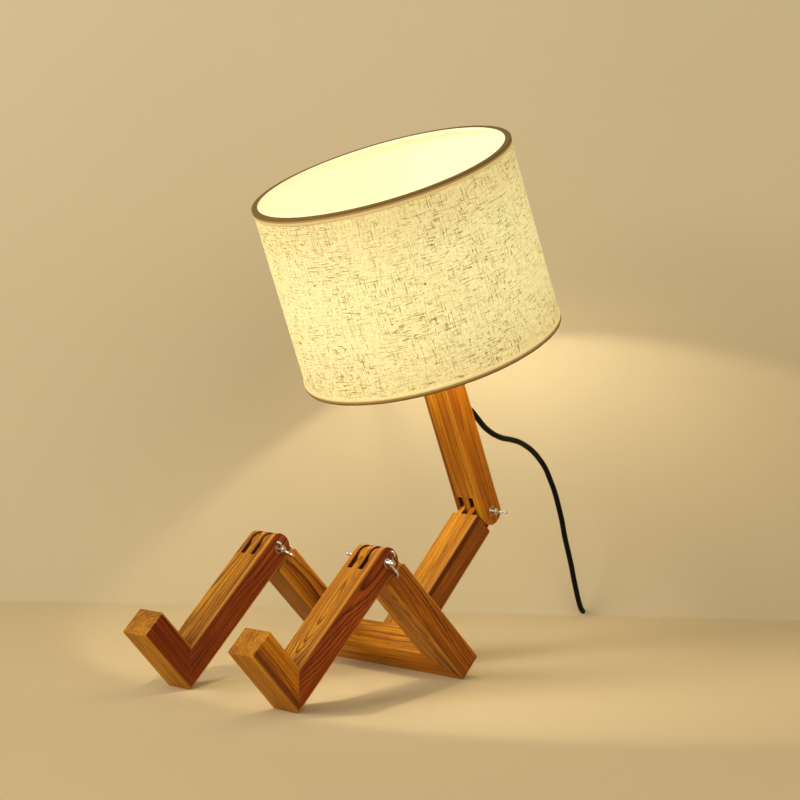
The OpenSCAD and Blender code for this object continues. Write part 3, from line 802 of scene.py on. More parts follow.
def smoothed(piece: Piece, angle: float) -> Piece:
    """Shades a piece smooth, but for its sharp edges.

    Args:
        piece: the object.
        angle: edges over this, in degrees, stay sharp.

    Returns:
        The object.
    """
    make_active(piece)
    bpy.ops.object.shade_smooth_by_angle(angle=math.radians(angle))
    return piece


def new_lamp(kind: str, name: str, power: float, colour: Colour) -> Piece:
    """Adds a lamp.

    Args:
        kind: the lamp's type.
        name: its name.
        power: its watts.
        colour: its colour.

    Returns:
        The lamp.
    """
    deselect_all()
    bpy.ops.object.light_add(type=kind)
    lamp = bpy.context.active_object
    lamp.name = name
    lamp.data.energy, lamp.data.color = power, colour
    return lamp


def dress(piece: Piece, material: Material) -> None:
    """Gives a piece one material all over."""
    piece.data.materials.clear()
    piece.data.materials.append(material)


def dress_node(node: str, material: Material) -> None:
    """Puts a material in all slots of a CAD node."""
    for slot in frame["nodes"][node].material_slots:
        slot.material = material


def entered(piece: Piece, material: Material, body: str, slot: str, *nodes: str) -> Piece:
    """Dresses a finished piece, hangs it on its body and hides the CAD nodes that it replaces.

    Args:
        piece: the object.
        material: its finish.
        body: the body that it rides on.
        slot: the record's material slot; not used.
        nodes: the CAD nodes that it replaces.

    Returns:
        The object.
    """
    dress(piece, material)
    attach(piece, body)
    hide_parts(*nodes)
    log.info("built %s", piece.name)
    return piece


def softened(node: str, name: str, body: str, slot: str, material: Material,
             width: float = 0.0005) -> Piece:
    """A piece with a CAD node's shape and rounded edges, in the node's place.

    Args:
        node: the CAD node.
        name: the piece's name.
        body: the body that it rides on.
        slot: the record's material slot.
        material: its finish.
        width: the rounding's width.

    Returns:
        The object.
    """
    deselect_all()
    bpy.ops.mesh.primitive_cube_add(size=0.01)
    piece = added(name)
    piece.data = frame["nodes"][node].data.copy()
    piece.data.name = name
    make_active(piece)
    bpy.ops.object.mode_set(mode="EDIT")
    bpy.ops.mesh.select_all(action="SELECT")
    bpy.ops.mesh.remove_doubles(threshold=2e-6)
    bpy.ops.mesh.dissolve_limited(angle_limit=math.radians(1.0))
    bpy.ops.object.mode_set(mode="OBJECT")
    modify(piece, "BEVEL", width=width, segments=2, limit_method="ANGLE",
           angle_limit=math.radians(40.0), use_clamp_overlap=True)
    return entered(smoothed(piece, 30.0), material, body, slot, node)


def spun(name: str, profile: Sequence[tuple[float, float]], steps: int,
         closed: bool = True) -> Piece:
    """A turned piece: an outline of (radius, height) points, spun about Z.

    Args:
        name: the piece's name.
        profile: the outline's points.
        steps: how many faces go round.
        closed: whether the outline closes on itself.

    Returns:
        The object.
    """
    deselect_all()
    bpy.ops.mesh.primitive_circle_add(vertices=len(profile), radius=0.01)
    piece = added(name)
    for vertex, (r, h) in zip(piece.data.vertices, profile):
        vertex.co = (r, 0.0, h)
    bpy.ops.object.mode_set(mode="EDIT")
    if not closed:
        bpy.ops.mesh.select_all(action="DESELECT")
        bpy.ops.object.mode_set(mode="OBJECT")
        last = len(profile) - 1
        for edge in piece.data.edges:
            edge.select = set(edge.vertices) == {0, last}
        bpy.ops.object.mode_set(mode="EDIT")
        bpy.ops.mesh.select_mode(type="EDGE")
        bpy.ops.mesh.delete(type="EDGE_FACE")
        bpy.ops.mesh.select_mode(type="VERT")
    bpy.ops.mesh.select_all(action="SELECT")
    bpy.ops.mesh.spin(steps=steps, angle=2 * math.pi, center=(0, 0, 0), axis=(0, 0, 1))
    outward(piece)
    return piece


def unroll(piece: Piece, radius: float) -> None:
    """Gives a turned piece a UV map in metres, round and up, before it is put in place.

    Args:
        piece: an object round Z.
        radius: the radius at which metres are true.
    """
    mesh = piece.data
    while mesh.uv_layers:
        mesh.uv_layers.remove(mesh.uv_layers[0])
    layer = mesh.uv_layers.new(name="metres")
    spread = mesh.uv_layers.new(name="spread")
    for face in mesh.polygons:
        middle = math.atan2(face.center.y, face.center.x)
        for corner in face.loop_indices:
            point = mesh.vertices[mesh.loops[corner].vertex_index].co
            turn = math.atan2(point.y, point.x)
            turn += 2 * math.pi * round((middle - turn) / (2 * math.pi))
            layer.data[corner].uv = (turn * radius, point.z)
            spread.data[corner].uv = (math.hypot(point.x, point.y), point.z)


# ---------------------------------------------------------------- sub-assemblies

@dataclass
class WoodenFigure:
    """The bars of the seat frame, the legs and the spine.

    Attributes:
        thigh_slope: the thighs' slope in the YZ plane; the other slopes likewise.
        shin_length: from a knee to the corner of its heel.
        thigh_length: from a knee to the far side of the hip bar.
    """

    thigh_slope: float = math.radians(135.0)
    shin_slope: float = math.radians(42.97)
    lower_spine_slope: float = math.radians(45.0)
    upper_spine_slope: float = math.radians(112.5)
    shin_length: float = 0.1365
    thigh_length: float = 0.132

    def finishes(self) -> list[OiledWood]:
        """The wood of each bar.

        Returns:
            The finishes, the dowels last.
        """
        left, right = joint_place("left_knee"), joint_place("right_knee")
        waist = joint_place("waist")
        shin = Vector((0.0, math.cos(self.shin_slope), math.sin(self.shin_slope)))
        thigh = Vector((0.0, math.cos(self.thigh_slope), math.sin(self.thigh_slope)))
        to_sole = (BAR_HALF_DEPTH - self.shin_length) * shin
        hip = Vector((0.0, left.y, left.z)) - (self.thigh_length - BAR_HALF_WIDTH) * thigh
        sole = self.shin_slope + math.pi / 2
        # Painted shade: each bar's side colour darkens its faces that look left and right; this one
        # is for the shins.
        painted_side_shade = (0.64, 0.31, 0.3)
        return [
            OiledWood("left_thigh", tuple(left), self.thigh_slope, pith=(0.012, 0.022),
                      drift=(0.03, 0.05), ring=0.0027, tone=0.96, side=(0.69, 0.48, 0.2),
                      seed=1.3),
            OiledWood("right_thigh", tuple(right), self.thigh_slope, pith=(-0.03, 0.01),
                      drift=(0.02, -0.04), ring=0.0028, tone=0.88, seed=4.1),
            OiledWood("hip_bar", tuple(hip), self.thigh_slope, across=True, pith=(0.03, 0.012),
                      drift=(0.02, 0.03), ring=0.0030, tone=1.10, figure=0.7, seed=2.2),
            OiledWood("lower_spine", tuple(waist), self.lower_spine_slope, pith=(0.02, 0.03),
                      drift=(0.04, 0.03), ring=0.0046, tone=0.87, side=(0.75, 0.55, 0.4),
                      figure=0.55, streak=(0.0152, 0.0080), seed=7.7),
            OiledWood("upper_spine", tuple(waist), self.upper_spine_slope, pith=(0.024, 0.006),
                      drift=(0.05, 0.02), ring=0.0044, side=(0.92, 0.72, 0.5),
                      figure=0.5, streak=(-0.0135, 0.0128), seed=5.2),
            OiledWood("left_shin", tuple(left), self.shin_slope, pith=(0.002, 0.004),
                      drift=(0.02, 0.13), ring=0.0021, sway=0.017, side=painted_side_shade, seed=9.4),
            OiledWood("left_foot", tuple(left + to_sole), sole, pith=(0.03, -0.004),
                      drift=(0.01, 0.02), ring=0.0028, tone=0.94, side=(1.0, 0.80, 0.45),
                      figure=0.6, streak=(0.0150, 0.0082), seed=3.6),
            OiledWood("right_shin", tuple(right), self.shin_slope, pith=(-0.012, 0.02),
                      drift=(0.03, 0.06), ring=0.0027, tone=0.75, side=painted_side_shade, figure=0.95,
                      seed=8.8),
            OiledWood("right_foot", tuple(right + to_sole), sole, pith=(0.02, 0.02),
                      drift=(0.01, 0.03), ring=0.0028, tone=0.90, side=(0.44, 0.18, 0.16),
                      seed=6.5),
            OiledWood("spine_dowels", tuple(waist), self.lower_spine_slope, ring=0.002, tone=1.2),
        ]

    def build(self) -> list[Piece]:
        """Builds every bar with rounded edges.

        Returns:
            The bars.
        """
        bodies = {"left_shin": "left_leg", "left_foot": "left_leg", "right_shin": "right_leg",
                  "right_foot": "right_leg", "upper_spine": "upper_body"}
        *bars, dowels = self.finishes()
        dress_node(dowels.name, dowels.material())
        return [softened(bar.name, f"{bar.name}_bar", bodies.get(bar.name, "seat"), "wood",
                         bar.material()) for bar in bars]


class Fastener(Enum):
    """The two kinds of winged fastener."""

    BOLT = "bolt"
    NUT = "wing_nut"


@dataclass
class WingHardware:
    """The winged bolts, the wing nuts and the washers.

    Attributes:
        washer: the washer's thickness.
        shank: the bolt's radius.
        tip: how far out the bolt's end comes.
        pitch: from one thread to the next.
        ear_thickness: the wings' thickness.
        hub_outline: radii and heights round the hub, in millimetres.
        ear_outline: a wing's outline, outward and sideways, in millimetres.
        turns: how far each fastener is turned, in degrees.
    """

    washer: float = 0.001
    shank: float = 0.002
    tip: float = 0.0215
    pitch: float = 0.0007
    ear_thickness: float = 0.0019
    hub_outline: tuple[tuple[float, float], ...] = (
        (0.0, 0.0), (3.5, 0.0), (3.7, 0.3), (3.65, 1.2), (3.3, 2.4), (3.0, 3.8), (2.85, 4.7),
        (2.6, 5.0), (0.0, 5.0))
    ear_outline: tuple[tuple[float, float], ...] = (
        (0.6, 0.0), (0.6, 3.2), (1.6, 5.4), (3.0, 7.9), (4.6, 9.7), (6.0, 10.5), (7.5, 10.6),
        (8.8, 9.9), (9.4, 8.6), (9.2, 7.2), (8.3, 6.0), (6.7, 4.7), (5.4, 3.4), (4.7, 1.9),
        (4.6, 0.0))
    turns: dict[tuple[str, Fastener], float] = field(default_factory=lambda: {
        ("left_knee", Fastener.BOLT): 147.0, ("left_knee", Fastener.NUT): 102.0,
        ("right_knee", Fastener.BOLT): 43.0, ("right_knee", Fastener.NUT): -40.0,
        ("waist", Fastener.BOLT): 45.0, ("waist", Fastener.NUT): -10.0})

    def ear(self, side: float) -> Piece:
        """One wing.

        Args:
            side: 1 or -1, the side it stands on.

        Returns:
            The wing, beside a hub that points along X.
        """
        deselect_all()
        bpy.ops.mesh.primitive_circle_add(vertices=len(self.ear_outline), radius=0.01,
                                          fill_type="NGON")
        piece = added("ear")
        for vertex, (out, reach) in zip(piece.data.vertices, self.ear_outline):
            vertex.co = (out * MM, side * reach * MM, 0.0)
        modify(piece, "SOLIDIFY", thickness=self.ear_thickness, offset=0.0)
        outward(piece)
        return piece

    def winged_hub(self) -> Piece:
        """A cast hub with two wings, pointing along X from the origin.

        Returns:
            The object.
        """
        hub = spun("hub", [(r * MM, h * MM) for r, h in self.hub_outline], 48, closed=False)
        settle(hub, Matrix.Rotation(math.pi / 2, 4, "Y"))
        piece = joined([hub, self.ear(1.0), self.ear(-1.0)], "winged_hub")
        modify(piece, "REMESH", mode="VOXEL", voxel_size=0.00024)
        modify(piece, "SMOOTH", factor=0.5, iterations=4)
        modify(piece, "DECIMATE", ratio=0.45)
        return piece

    def threaded_shank(self) -> Piece:
        """The bolt's shank along X, with its thread showing at the end.

        Returns:
            The object.
        """
        start, groove = -BAR_HALF_WIDTH - MM, self.shank * 0.84
        thread_from = BAR_HALF_WIDTH - MM
        outline = [(0.0, start), (self.shank, start), (self.shank, thread_from)]
        place = thread_from
        while place < self.tip - 1.5 * self.pitch:
            outline += [(groove, place + 0.4 * self.pitch), (groove, place + 0.55 * self.pitch),
                        (self.shank, place + 0.9 * self.pitch), (self.shank, place + self.pitch)]
            place += self.pitch
        outline += [(groove, self.tip), (0.0, self.tip)]
        shank = spun("shank", outline, 32, closed=False)
        return settle(shank, Matrix.Rotation(math.pi / 2, 4, "Y"))

    def fastener(self, joint: str, kind: Fastener, metal: Material) -> None:
        """Builds a bolt or a nut in its place.

        Args:
            joint: the joint that it holds.
            kind: bolt or nut.
            metal: its finish.
        """
        node = f"{joint}_{kind.value}"
        if kind is Fastener.BOLT:
            body = "seat"
            head = settle(self.winged_hub(), Matrix.Rotation(math.pi, 4, "Z")
                          @ Matrix.Translation((BAR_HALF_WIDTH, 0.0, 0.0)))
            piece = joined([head, self.threaded_shank()], f"{node}_cast")
        else:
            body = f"{joint}_nut"
            outside = Matrix.Translation((BAR_HALF_WIDTH + self.washer, 0.0, 0.0))
            settle(self.winged_hub(), outside)
            piece = added(f"{node}_cast")
            self.bore(piece)
        settle(piece, Matrix.Translation(joint_place(joint))
               @ Matrix.Rotation(math.radians(self.turns[joint, kind]), 4, "X"))
        entered(smoothed(piece, 40.0), metal, body, "zinc", node)

    def bore(self, nut: Piece) -> None:
        """Cuts the bolt's hole through a nut that points along X.

        Args:
            nut: the object.
        """
        deselect_all()
        bpy.ops.mesh.primitive_cylinder_add(
            vertices=40, radius=self.shank + 0.00005, depth=0.04,
            rotation=(0.0, math.pi / 2, 0.0), location=(0.018, 0.0, 0.0))
        drill = settle(added("drill"))
        modify(nut, "BOOLEAN", operation="DIFFERENCE", solver="EXACT", object=drill)
        make_active(drill)
        bpy.ops.object.delete()

    def build(self) -> None:
        """Builds the fasteners and dresses the washers."""
        zinc = PlatedMetal("zinc_plate", (0.72, 0.68, 0.60), rough=0.09, worn=0.30).material()
        for joint, kind in self.turns:
            self.fastener(joint, kind, zinc)
        for joint in PINCHED_JOINTS:
            dress_node(f"{joint}_washer", zinc)
            log.info("dressed %s_washer", joint)


@dataclass
class DrumShade:
    """The linen drum with its liner, wire frame and bindings.

    Attributes:
        height: the shade's height.
        foot_radius: the linen's outer radius at the lower edge.
        taper: how much the radius narrows to the top.
        lift: the lower edge's place over the spine's top end.
        linen: the linen's thickness.
        liner: the liner's thickness.
        gap: the room left between the layers.
        wire: the wire rings' thickness.
        tape: the binding's thickness.
        tape_height: how far it covers the linen.
        bulb_height: how high the bulb stands over the lower edge.
        courses: how many faces there are up the drum.
        sides: how many there are round it.
    """

    height: float = 0.156
    foot_radius: float = 0.1094
    taper: float = 0.0016
    lift: float = -0.002
    linen: float = 0.0007
    liner: float = 0.0005
    gap: float = 0.0001
    wire: float = 0.0024
    tape: float = 0.0006
    tape_height: float = 0.005
    bulb_height: float = 0.075
    courses: int = 24
    sides: int = 160

    def radius(self, height: float) -> float:
        """The linen's outer radius at a height."""
        return self.foot_radius - self.taper * height / self.height

    def build(self, place: Matrix) -> Piece:
        """Builds and dresses the shade.

        Args:
            place: the frame on the spine's top end.

        Returns:
            The linen cover.
        """
        seat = place @ Matrix.Translation((0.0, 0.0, self.lift))
        linen = self.drum(seat, "linen_cover", 0.0, self.linen)
        entered(linen, LitLinen(self.foot_radius, self.bulb_height).material(),
                "upper_body", "linen", "shade_linen")
        bindings = [self.build_binding(seat, "bottom", 0.0, 1.0),
                    self.build_binding(seat, "top", self.height, -1.0)]
        liner = self.drum(seat, "shade_liner_skin", self.linen + self.gap, self.liner)
        entered(liner, LitLiner().material(), "upper_body", "liner", "shade_liner")
        size = (2 * math.pi * self.radius(self.height / 2), self.height)
        wire = MouldedPlastic("wire_lacquer", (0.80, 0.79, 0.75), rough=0.35).material()
        for node in ("shade_frame", "shade_top_ring"):
            dress_node(node, wire)
            log.info("dressed %s", node)
        return linen

    def drum(self, seat: Matrix, name: str, inset: float, wall: float) -> Piece:
        """A thin tapered drum in its place.

        Args:
            seat: the shade's frame.
            name: the piece's name.
            inset: how far it lies within the linen's outside.
            wall: the wall's thickness.

        Returns:
            The object, with metres in its UV map.
        """
        levels = [self.height * i / self.courses for i in range(self.courses + 1)]
        outline = [(self.radius(h) - inset, h) for h in levels]
        outline += [(self.radius(h) - inset - wall, h) for h in reversed(levels)]
        piece = spun(name, outline, self.sides)
        unroll(piece, self.foot_radius)
        return settle(smoothed(piece, 50.0), seat)

    def build_binding(self, seat: Matrix, end: str, edge: float, up: float) -> Piece:
        """A tape folded over an edge.

        Args:
            seat: the shade's frame.
            end: bottom or top.
            edge: the height of the edge.
            up: 1 at the lower edge, -1 at the upper one.

        Returns:
            The object.
        """
        outer = self.radius(edge) + self.gap
        walls = self.linen + self.liner + 2 * self.gap
        inner = self.radius(edge) - walls - self.wire - 2 * self.gap
        t = self.tape
        fold = edge - up * self.gap
        inner_end, outer_end = edge + up * (self.wire + self.gap), edge + up * self.tape_height
        outline = [
            (inner - t, inner_end), (inner - t, fold), (inner - t * 0.6, fold - up * t * 0.7),
            (inner + t * 0.2, fold - up * t), (outer - t * 0.2, fold - up * t),
            (outer + t * 0.6, fold - up * t * 0.7), (outer + t, fold),
            (outer + t, edge + up * self.tape_height * 0.5),
            (outer + t, edge + up * (self.tape_height - 0.0004)),
            (outer + t * 0.5, outer_end), (outer, outer_end), (outer, fold), (inner, fold),
            (inner, inner_end),
        ]
        piece = spun(f"{end}_binding_tape", outline, self.sides)
        unroll(piece, self.foot_radius)
        settle(smoothed(piece, 60.0), seat)
        if end == "bottom":
            # Painted shade: the bottom tape's dark rim stands for shade under the lower edge.
            tape = WovenTape("bottom_tape", edge, up, rim=(0.20, 0.13, 0.05), rim_width=0.0005,
                             rim_inside=inner)
        else:
            tape = WovenTape("top_tape", edge, up, rim=(0.175, 0.112, 0.035), rim_width=0.0007,
                             rim_inside=inner, glow=0.24)
        return entered(piece, tape.material(), "upper_body", "binding", f"{end}_binding")


@dataclass
class LampHolder:
    """The holder and the bulb inside the shade."""

    def build(self) -> None:
        """Dresses the holder's and the bulb's nodes."""
        white = MouldedPlastic("holder_plastic", (0.80, 0.79, 0.74), rough=0.35).material()
        for node in ("holder_cup", "holder_insert", "holder_sleeve", "shade_ring_nut", "bulb_neck"):
            dress_node(node, white)
        brass = PlatedMetal("brass", (0.74, 0.55, 0.25), rough=0.3).material()
        for node in ("threaded_tube", "holder_contact"):
            dress_node(node, brass)
        cap = PlatedMetal("cap_plate", (0.75, 0.75, 0.74), rough=0.25).material()
        dress_node("bulb_cap", cap)
        dress_node("bulb_globe", LitGlobe().material())
        log.info("dressed the lamp holder and the bulb")


@dataclass
class MainsCord:
    """The cord from the spine to the plug, with its switch, coil and tie.

    Attributes:
        thickness: the cord's diameter.
        mouth: where the cord leaves the bushing.
        leave: its direction there.
        away: the heading along which the rest is put away.
        switch: the point on the floor under the cord's way into the switch.
        switch_length: from the cord's way in to its way out.
        cord_height: how high over the floor the cord enters the switch.
        link: from the switch to the coil.
        coil_radius: the radius of the coil's innermost turn.
        pitch: from one turn, and one layer, to the next.
        turns: how many turns there are in each layer.
        coil_height: how high over the floor the lower layer lies.
        plug_gap: from the coil to the plug.
        plug_height: how high over the floor the cord enters the plug.
        drop: points on the way from the spine to the switch, in millimetres.
    """

    thickness: float = 0.005
    mouth: Point = (0.0, 0.115555, 0.215243)
    leave: Point = (0.0, 0.793353, -0.608761)
    away: float = math.radians(215.0)
    switch: Point = (-0.102, 0.348, 0.0)
    switch_length: float = 0.058
    cord_height: float = 0.0045
    link: float = 0.027
    coil_radius: float = 0.020
    pitch: float = 0.0055
    turns: float = 3.5
    coil_height: float = 0.0034
    plug_gap: float = 0.042
    plug_height: float = 0.00685
    drop: tuple[Point, ...] = (
        (-1, 130, 207), (-3, 141, 199), (-6, 153, 191), (-9, 167, 184.5), (-12, 182, 180),
        (-15, 197, 177.5), (-18, 211, 174.5), (-22, 225, 170), (-25, 238, 164), (-28, 250, 156.5),
        (-30, 261, 147), (-33, 271, 136), (-35, 280, 123.5), (-37, 288, 109), (-38, 294, 95),
        (-40, 300, 81), (-41.5, 306.5, 67), (-43, 313, 53), (-45, 319, 40), (-47, 325, 28),
        (-49, 331, 17), (-51.3, 337.5, 8), (-55, 345.5, 3.2), (-61.5, 353, 2.5),
        (-69.5, 358.5, 2.5), (-78, 360, 2.5), (-86, 358, 3))

    def along(self, point: Sequence[float], step: float, height: float = 0.0) -> Vector:
        """A point so far along the heading, and so high over the first."""
        return Vector(point) + Vector((step * math.cos(self.away), step * math.sin(self.away),
                                       height))

    def drop_route(self) -> list[Vector]:
        """The way from the spine's back to the switch.

        Returns:
            The points.
        """
        start, out = Vector(self.mouth), Vector(self.leave)
        route = [start, start + 0.008 * out]
        route += [Vector(p) / 1000.0 for p in self.drop]
        route += [self.along(self.switch, -back, self.cord_height - sunk)
                  for back, sunk in ((0.009, 0.0005), (0.003, 0.0), (0.0, 0.0))]
        return route

    def lead_route(self) -> list[Vector]:
        """The way from the switch through the coil to the plug.

        Returns:
            The points.
        """
        coil_in = self.along(self.switch, self.switch_length + self.link, self.coil_height)
        coil_out = coil_in + Vector((0.0, 0.0, self.pitch))
        side = Vector((math.sin(self.away), -math.cos(self.away), 0.0))
        head = Vector((math.cos(self.away), math.sin(self.away), 0.0))
        outermost = self.coil_radius + self.pitch * self.turns
        centre = Vector((coil_in.x, coil_in.y, 0.0)) + outermost * side
        route = [self.along(self.switch, self.switch_length, self.cord_height),
                 self.along(self.switch, self.switch_length + self.link / 3, self.cord_height),
                 self.along(coil_in, -(self.thickness + self.link / 6)),
                 self.along(coil_in, -self.thickness)]
        for i in range(int(2 * self.turns * TURN_POINTS) + 1):
            turn = i / TURN_POINTS - self.turns
            radius = self.coil_radius + self.pitch * abs(turn)
            angle = 2 * math.pi * (self.turns - turn)
            share = min(1.0, max(0.0, 2 * turn + 0.5))
            climb = share * share * (3 - 2 * share)
            height = Vector((0.0, 0.0, self.coil_height + self.pitch * climb))
            spoke = side * math.cos(angle) + head * math.sin(angle)
            route.append(centre - radius * spoke + height)
        route += [self.along(coil_out, self.thickness),
                  self.along(coil_out, self.thickness + 0.003),
                  self.along(coil_out, self.plug_gap * 0.35, -0.0008),
                  self.along(coil_out, self.plug_gap * 0.5, -0.002),
                  self.along(coil_out, self.plug_gap * 0.7, -0.0024)]
        floor = Vector((coil_in.x, coil_in.y, self.plug_height))
        route += [self.along(floor, self.plug_gap - 0.004), self.along(floor, self.plug_gap)]
        return route

    @staticmethod
    def rounded(route: Sequence[Vector], cuts: int = 4) -> list[Vector]:
        """A route with more points on the same smooth line.

        Args:
            route: the points it passes.
            cuts: how many stretches each gap gets.

        Returns:
            The points, the first and last kept.
        """
        ends = [2 * route[0] - route[1], *route, 2 * route[-1] - route[-2]]
        fine = []
        for a, b, c, d in zip(ends, ends[1:], ends[2:], ends[3:]):
            for i in range(cuts):
                t = i / cuts
                fine.append(0.5 * ((2 * b) + (c - a) * t + (2 * a - 5 * b + 4 * c - d) * t * t
                                   + (3 * b - a - 3 * c + d) * t ** 3))
        return [*fine, route[-1]]

    def tube(self, name: str, route: Sequence[Vector]) -> Piece:
        """A round cord along a route.

        Args:
            name: the piece's name.
            route: the points of its middle line.

        Returns:
            A mesh tube with closed ends.
        """
        deselect_all()
        bpy.ops.curve.primitive_bezier_curve_add()
        curve = bpy.context.active_object
        curve.data.splines.clear()
        spline = curve.data.splines.new("POLY")
        spline.points.add(len(route) - 1)
        for point, place in zip(spline.points, route):
            point.co = (*place, 1.0)
        curve.data.bevel_depth = self.thickness / 2
        curve.data.bevel_resolution = 4
        curve.data.use_fill_caps = True
        make_active(curve)
        bpy.ops.object.convert(target="MESH")
        return smoothed(settle(added(name)), 50.0)

    def build(self) -> None:
        """Builds the cords and dresses what is on them."""
        rubber = MouldedPlastic("cord_jacket", (0.0028, 0.0024, 0.0026), rough=0.45,
                                gloss=0.10).material()
        black = MouldedPlastic("black_plastic", BLACK, rough=0.42).material()
        self.build_drop(rubber)
        self.build_lead(rubber)
        for node in ("cord_bushing", "inner_cord", "cord_tie"):
            dress_node(node, black)
        pins = PlatedMetal("pin_plate", (0.76, 0.74, 0.70), rough=0.2).material()
        dress_node("plug_pins", pins)
        log.info("dressed the bushing, the switch and the plug")

    def build_drop(self, rubber: Material) -> None:
        """The cord from the spine to the switch, and the switch.

        Args:
            rubber: the cord's finish.
        """
        route = self.rounded(self.drop_route())
        piece = self.tube("cord_to_switch", route)
        dress(piece, rubber)
        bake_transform(piece)
        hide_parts("cord_drop")
        black = MouldedPlastic("switch_plastic", BLACK, rough=0.42).material()
        pale = MouldedPlastic("rocker_plastic", (0.62, 0.61, 0.57), rough=0.35).material()
        for node, name, body, slot, plastic, width in (
                ("switch_base", "switch_lower_half", "seat", "black_plastic", black, 0.0008),
                ("switch_cover", "switch_upper_half", "seat", "black_plastic", black, 0.0008),
                ("switch_rocker", "switch_rocker_cap", "rocker", "rocker", pale, 0.0006)):
            softened(node, name, body, slot, plastic, width)
        log.info("built cord_to_switch")

    def build_lead(self, rubber: Material) -> None:
        """The cord from the switch through the coil to the plug.

        Args:
            rubber: the cord's finish.
        """
        route = self.rounded(self.lead_route(), 2)
        piece = self.tube("cord_to_plug", route)
        entered(piece, rubber, "seat", "cord", "cord_link", "cord_coil", "cord_tail")
        black = MouldedPlastic("plug_plastic", BLACK, rough=0.42).material()
        nodes = [frame["nodes"]["cord_tie"], frame["nodes"]["plug_pins"],
                 softened("plug_body", "plug_moulding", "seat", "black_plastic", black, 0.0008)]


# ------------------------------------------------------------------------ studio

@dataclass
class Studio:
    """The camera, the lights, the table and the wall.

    Attributes:
        eye: where the camera stands.
        right, up, back: its axes.
        lens: its focal length in millimetres, for a sensor of 36 mm.
        wall_point: a point on the foot of the wall.
        wall_heading: the wall's heading along the table.
        room: how wide the table and the wall are.
        sky: the colour of the light from all round.
        sky_strength: how strong it is.
    """

    eye: Point = (1.140118, -1.106300, 0.310414)
    right: Point = (0.710207, 0.703988, -0.002821)
    up: Point = (-0.037498, 0.041830, 0.998421)
    back: Point = (0.702994, -0.708979, 0.056106)
    lens: float = 89.297
    wall_point: Point = (-0.0532, 0.3444, 0.0)
    wall_heading: float = math.radians(35.0)
    room: float = 8.0
    sky: Colour = (1.0, 0.955, 0.875)
    sky_strength: float = 0.49

    def build_camera(self) -> None:
        """The camera at the photograph's place."""
        deselect_all()
        bpy.ops.object.camera_add()
        camera = bpy.context.active_object
        camera.name = "studio_camera"
        camera.matrix_world = Matrix((*zip(self.right, self.up, self.back, self.eye),
                                      (0, 0, 0, 1)))
        camera.data.lens = self.lens
        camera.data.sensor_width = 36.0
        camera.data.clip_end = 50.0
        bpy.context.scene.camera = camera

    @staticmethod
    def lamp(name: str, place: Point, size: float, power: float, colour: Colour) -> None:
        """A soft square lamp that points at the object.

        Args:
            name: its name.
            place: where it stands.
            size: its side.
            power: its watts.
            colour: its colour.
        """
        lamp = new_lamp("AREA", name, power, colour)
        way = Vector((0.0, 0.0, 0.2)) - Vector(place)
        lamp.location, lamp.rotation_euler = place, way.to_track_quat("-Z", "Y").to_euler()
        lamp.data.size = size

    def pale(self, name: str, near: Colour, far: Colour, one_sided: bool) -> Material:
        """A plain painted surface.

        Args:
            name: its name.
            near: one colour of its faint cloud.
            far: the other.
            one_sided: whether it is clear from behind.

        Returns:
            The material.
        """
        recipe = Recipe(name)
        cloud = recipe.noise(recipe.place(), 1.6, 2.0)
        base = recipe.mix(cloud.step(0.3, 0.7), near, far)
        recipe.surface(Base_Color=base, Roughness=0.75, Specular_IOR_Level=0.25)
        if one_sided:
            shader = recipe.finish.inputs["Surface"].links[0].from_socket
            clear = recipe.add("ShaderNodeBsdfTransparent")
            behind = recipe.add("ShaderNodeNewGeometry", out="Backfacing")
            mixed = recipe.add("ShaderNodeMixShader", {},
                               {0: behind, 1: Signal(recipe, shader), 2: clear})
            recipe.tree.links.new(mixed.socket, recipe.finish.inputs["Surface"])
        return recipe.material

    def build_ground(self) -> list[Piece]:
        """Builds the table top and the wall behind it.

        Returns:
            Both objects.
        """
        deselect_all()
        bpy.ops.mesh.primitive_plane_add(size=self.room, location=(0, 0, 0))
        floor = settle(added("table_top"))
        dress(floor, self.pale("table_paint", (0.55, 0.435, 0.250), (0.58, 0.46, 0.265), False))
        deselect_all()
        bpy.ops.mesh.primitive_plane_add(size=self.room)
        wall = added("back_wall")
        stand = (Matrix.Translation(self.wall_point) @ Matrix.Rotation(self.wall_heading, 4, "Z")
                 @ Matrix.Rotation(math.pi / 2, 4, "X")
                 @ Matrix.Translation((0.0, self.room / 2, 0.0)))
        settle(wall, stand)
        dress(wall, self.pale("wall_paint", (0.55, 0.462, 0.288), (0.57, 0.478, 0.302), True))
        return [floor, wall]

    def build_light(self) -> None:
        """The lamps and the world."""
        self.lamp("key_lamp", place=(-0.9, -2.3, 1.5), size=1.3, power=50.0,
                  colour=(1.0, 0.965, 0.90))
        self.lamp("fill_lamp", place=(2.2, -0.9, 1.4), size=1.8, power=18.5,
                  colour=(1.0, 0.945, 0.845))
        world = bpy.data.worlds.new("studio_world")
        bpy.context.scene.world = world
        world.use_nodes = True
        sky = world.node_tree.nodes["Background"]
        sky.inputs["Color"].default_value = (*self.sky, 1.0)
        sky.inputs["Strength"].default_value = self.sky_strength
        bpy.context.scene.view_settings.view_transform = "Standard"


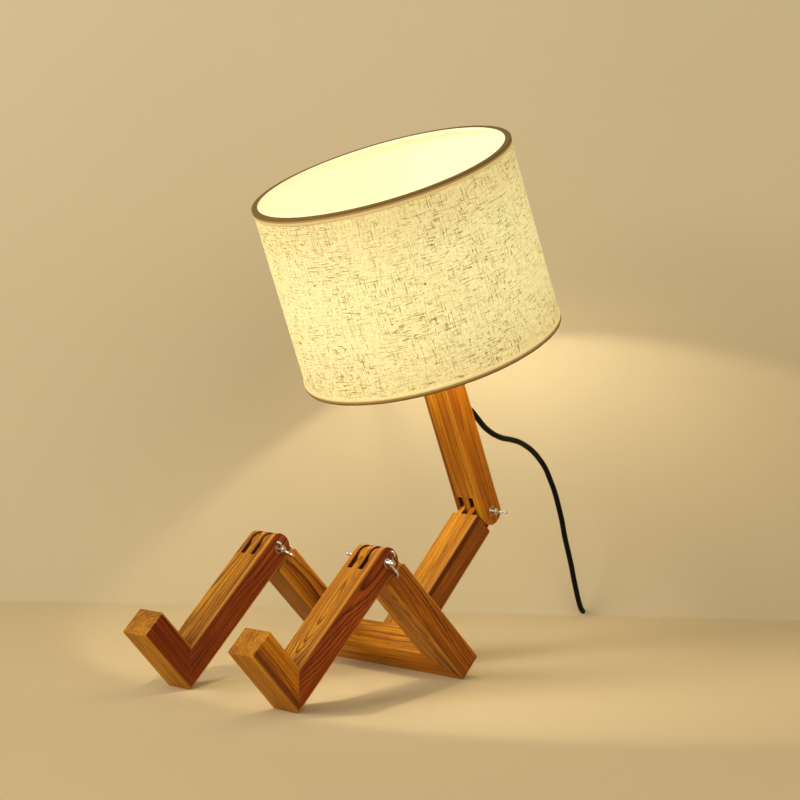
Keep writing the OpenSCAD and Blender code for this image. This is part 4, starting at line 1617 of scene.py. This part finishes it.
@dataclass
class ShadeGlow:
    """The light that leaves the shade's two ends, from the bulb and from the liner.

    Attributes:
        bulb: the bulb's light on the spine's frame.
        bulb_radius: the radius of its source.
        bulb_power: its watts.
        bulb_colour: its colour.
        wash_height: how high on the spine's frame the liner's light lies.
        wash_width: how wide its disk is.
        wash_power: its watts.
        wash_colour: its colour.
    """

    bulb: Point = (0.004, 0.0, 0.0715)
    bulb_radius: float = 0.006
    bulb_power: float = 1.95
    bulb_colour: Colour = (1.0, 0.87, 0.64)
    wash_height: float = 0.030
    wash_width: float = 0.13
    wash_power: float = 0.42
    wash_colour: Colour = (1.0, 0.86, 0.60)

    def build(self, carrier: Piece, place: Matrix, lit: Sequence[Piece],
              in_its_way: Sequence[Piece]) -> None:
        """Hangs both lights in the shade, for what stands round it alone.

        Args:
            carrier: the piece that they ride with.
            place: the frame on the spine's top end.
            lit: the objects that they reach.
            in_its_way: the other objects that cast their shadow.
        """
        reached = bpy.data.collections.new("lit_by_bulb")
        shading = bpy.data.collections.new("shades_the_bulb")
        for piece in lit:
            reached.objects.link(piece)
        for piece in (*lit, *in_its_way):
            shading.objects.link(piece)
        bulb = new_lamp("POINT", "bulb_light", self.bulb_power, self.bulb_colour)
        bulb.location = place @ Vector(self.bulb)
        bulb.data.shadow_soft_size = self.bulb_radius
        wash = new_lamp("AREA", "liner_light", self.wash_power, self.wash_colour)
        wash.matrix_world = place @ Matrix.Translation((0.0, 0.0, self.wash_height))
        wash.data.shape, wash.data.size = "DISK", self.wash_width
        for lamp in (bulb, wash):
            lamp.parent = carrier
            lamp.light_linking.receiver_collection = reached
            lamp.light_linking.blocker_collection = shading


def spine_frame() -> Matrix:
    """The frame on the upper spine's top end.

    Returns:
        The frame, with Z up the spine and Y out of its back.
    """
    lean, length = math.radians(22.5), 0.152
    up = Vector((0.0, -math.sin(lean), math.cos(lean)))
    behind = Vector((0.0, math.cos(lean), math.sin(lean)))
    top = joint_place("waist") + length * up
    return Matrix((*zip((1.0, 0.0, 0.0), behind, up, top), (0, 0, 0, 1)))


def main() -> None:
    """Builds the scene."""
    logging.basicConfig(level=logging.INFO, format="%(message)s")
    studio = Studio()
    studio.build_camera()
    MainsCord().build()
    ground = studio.build_ground()
    studio.build_light()
    bars = WoodenFigure().build()
    WingHardware().build()
    shade = DrumShade().build(spine_frame())
    round_bulb = ("holder_cup", "holder_sleeve", "shade_ring_nut", "shade_frame",
                  "shade_top_ring")
    ShadeGlow().build(shade, spine_frame(), [*ground, *bars],
                      [shade, *(frame["nodes"][node] for node in round_bulb)])
    LampHolder().build()


if __name__ == "__main__":
    main()
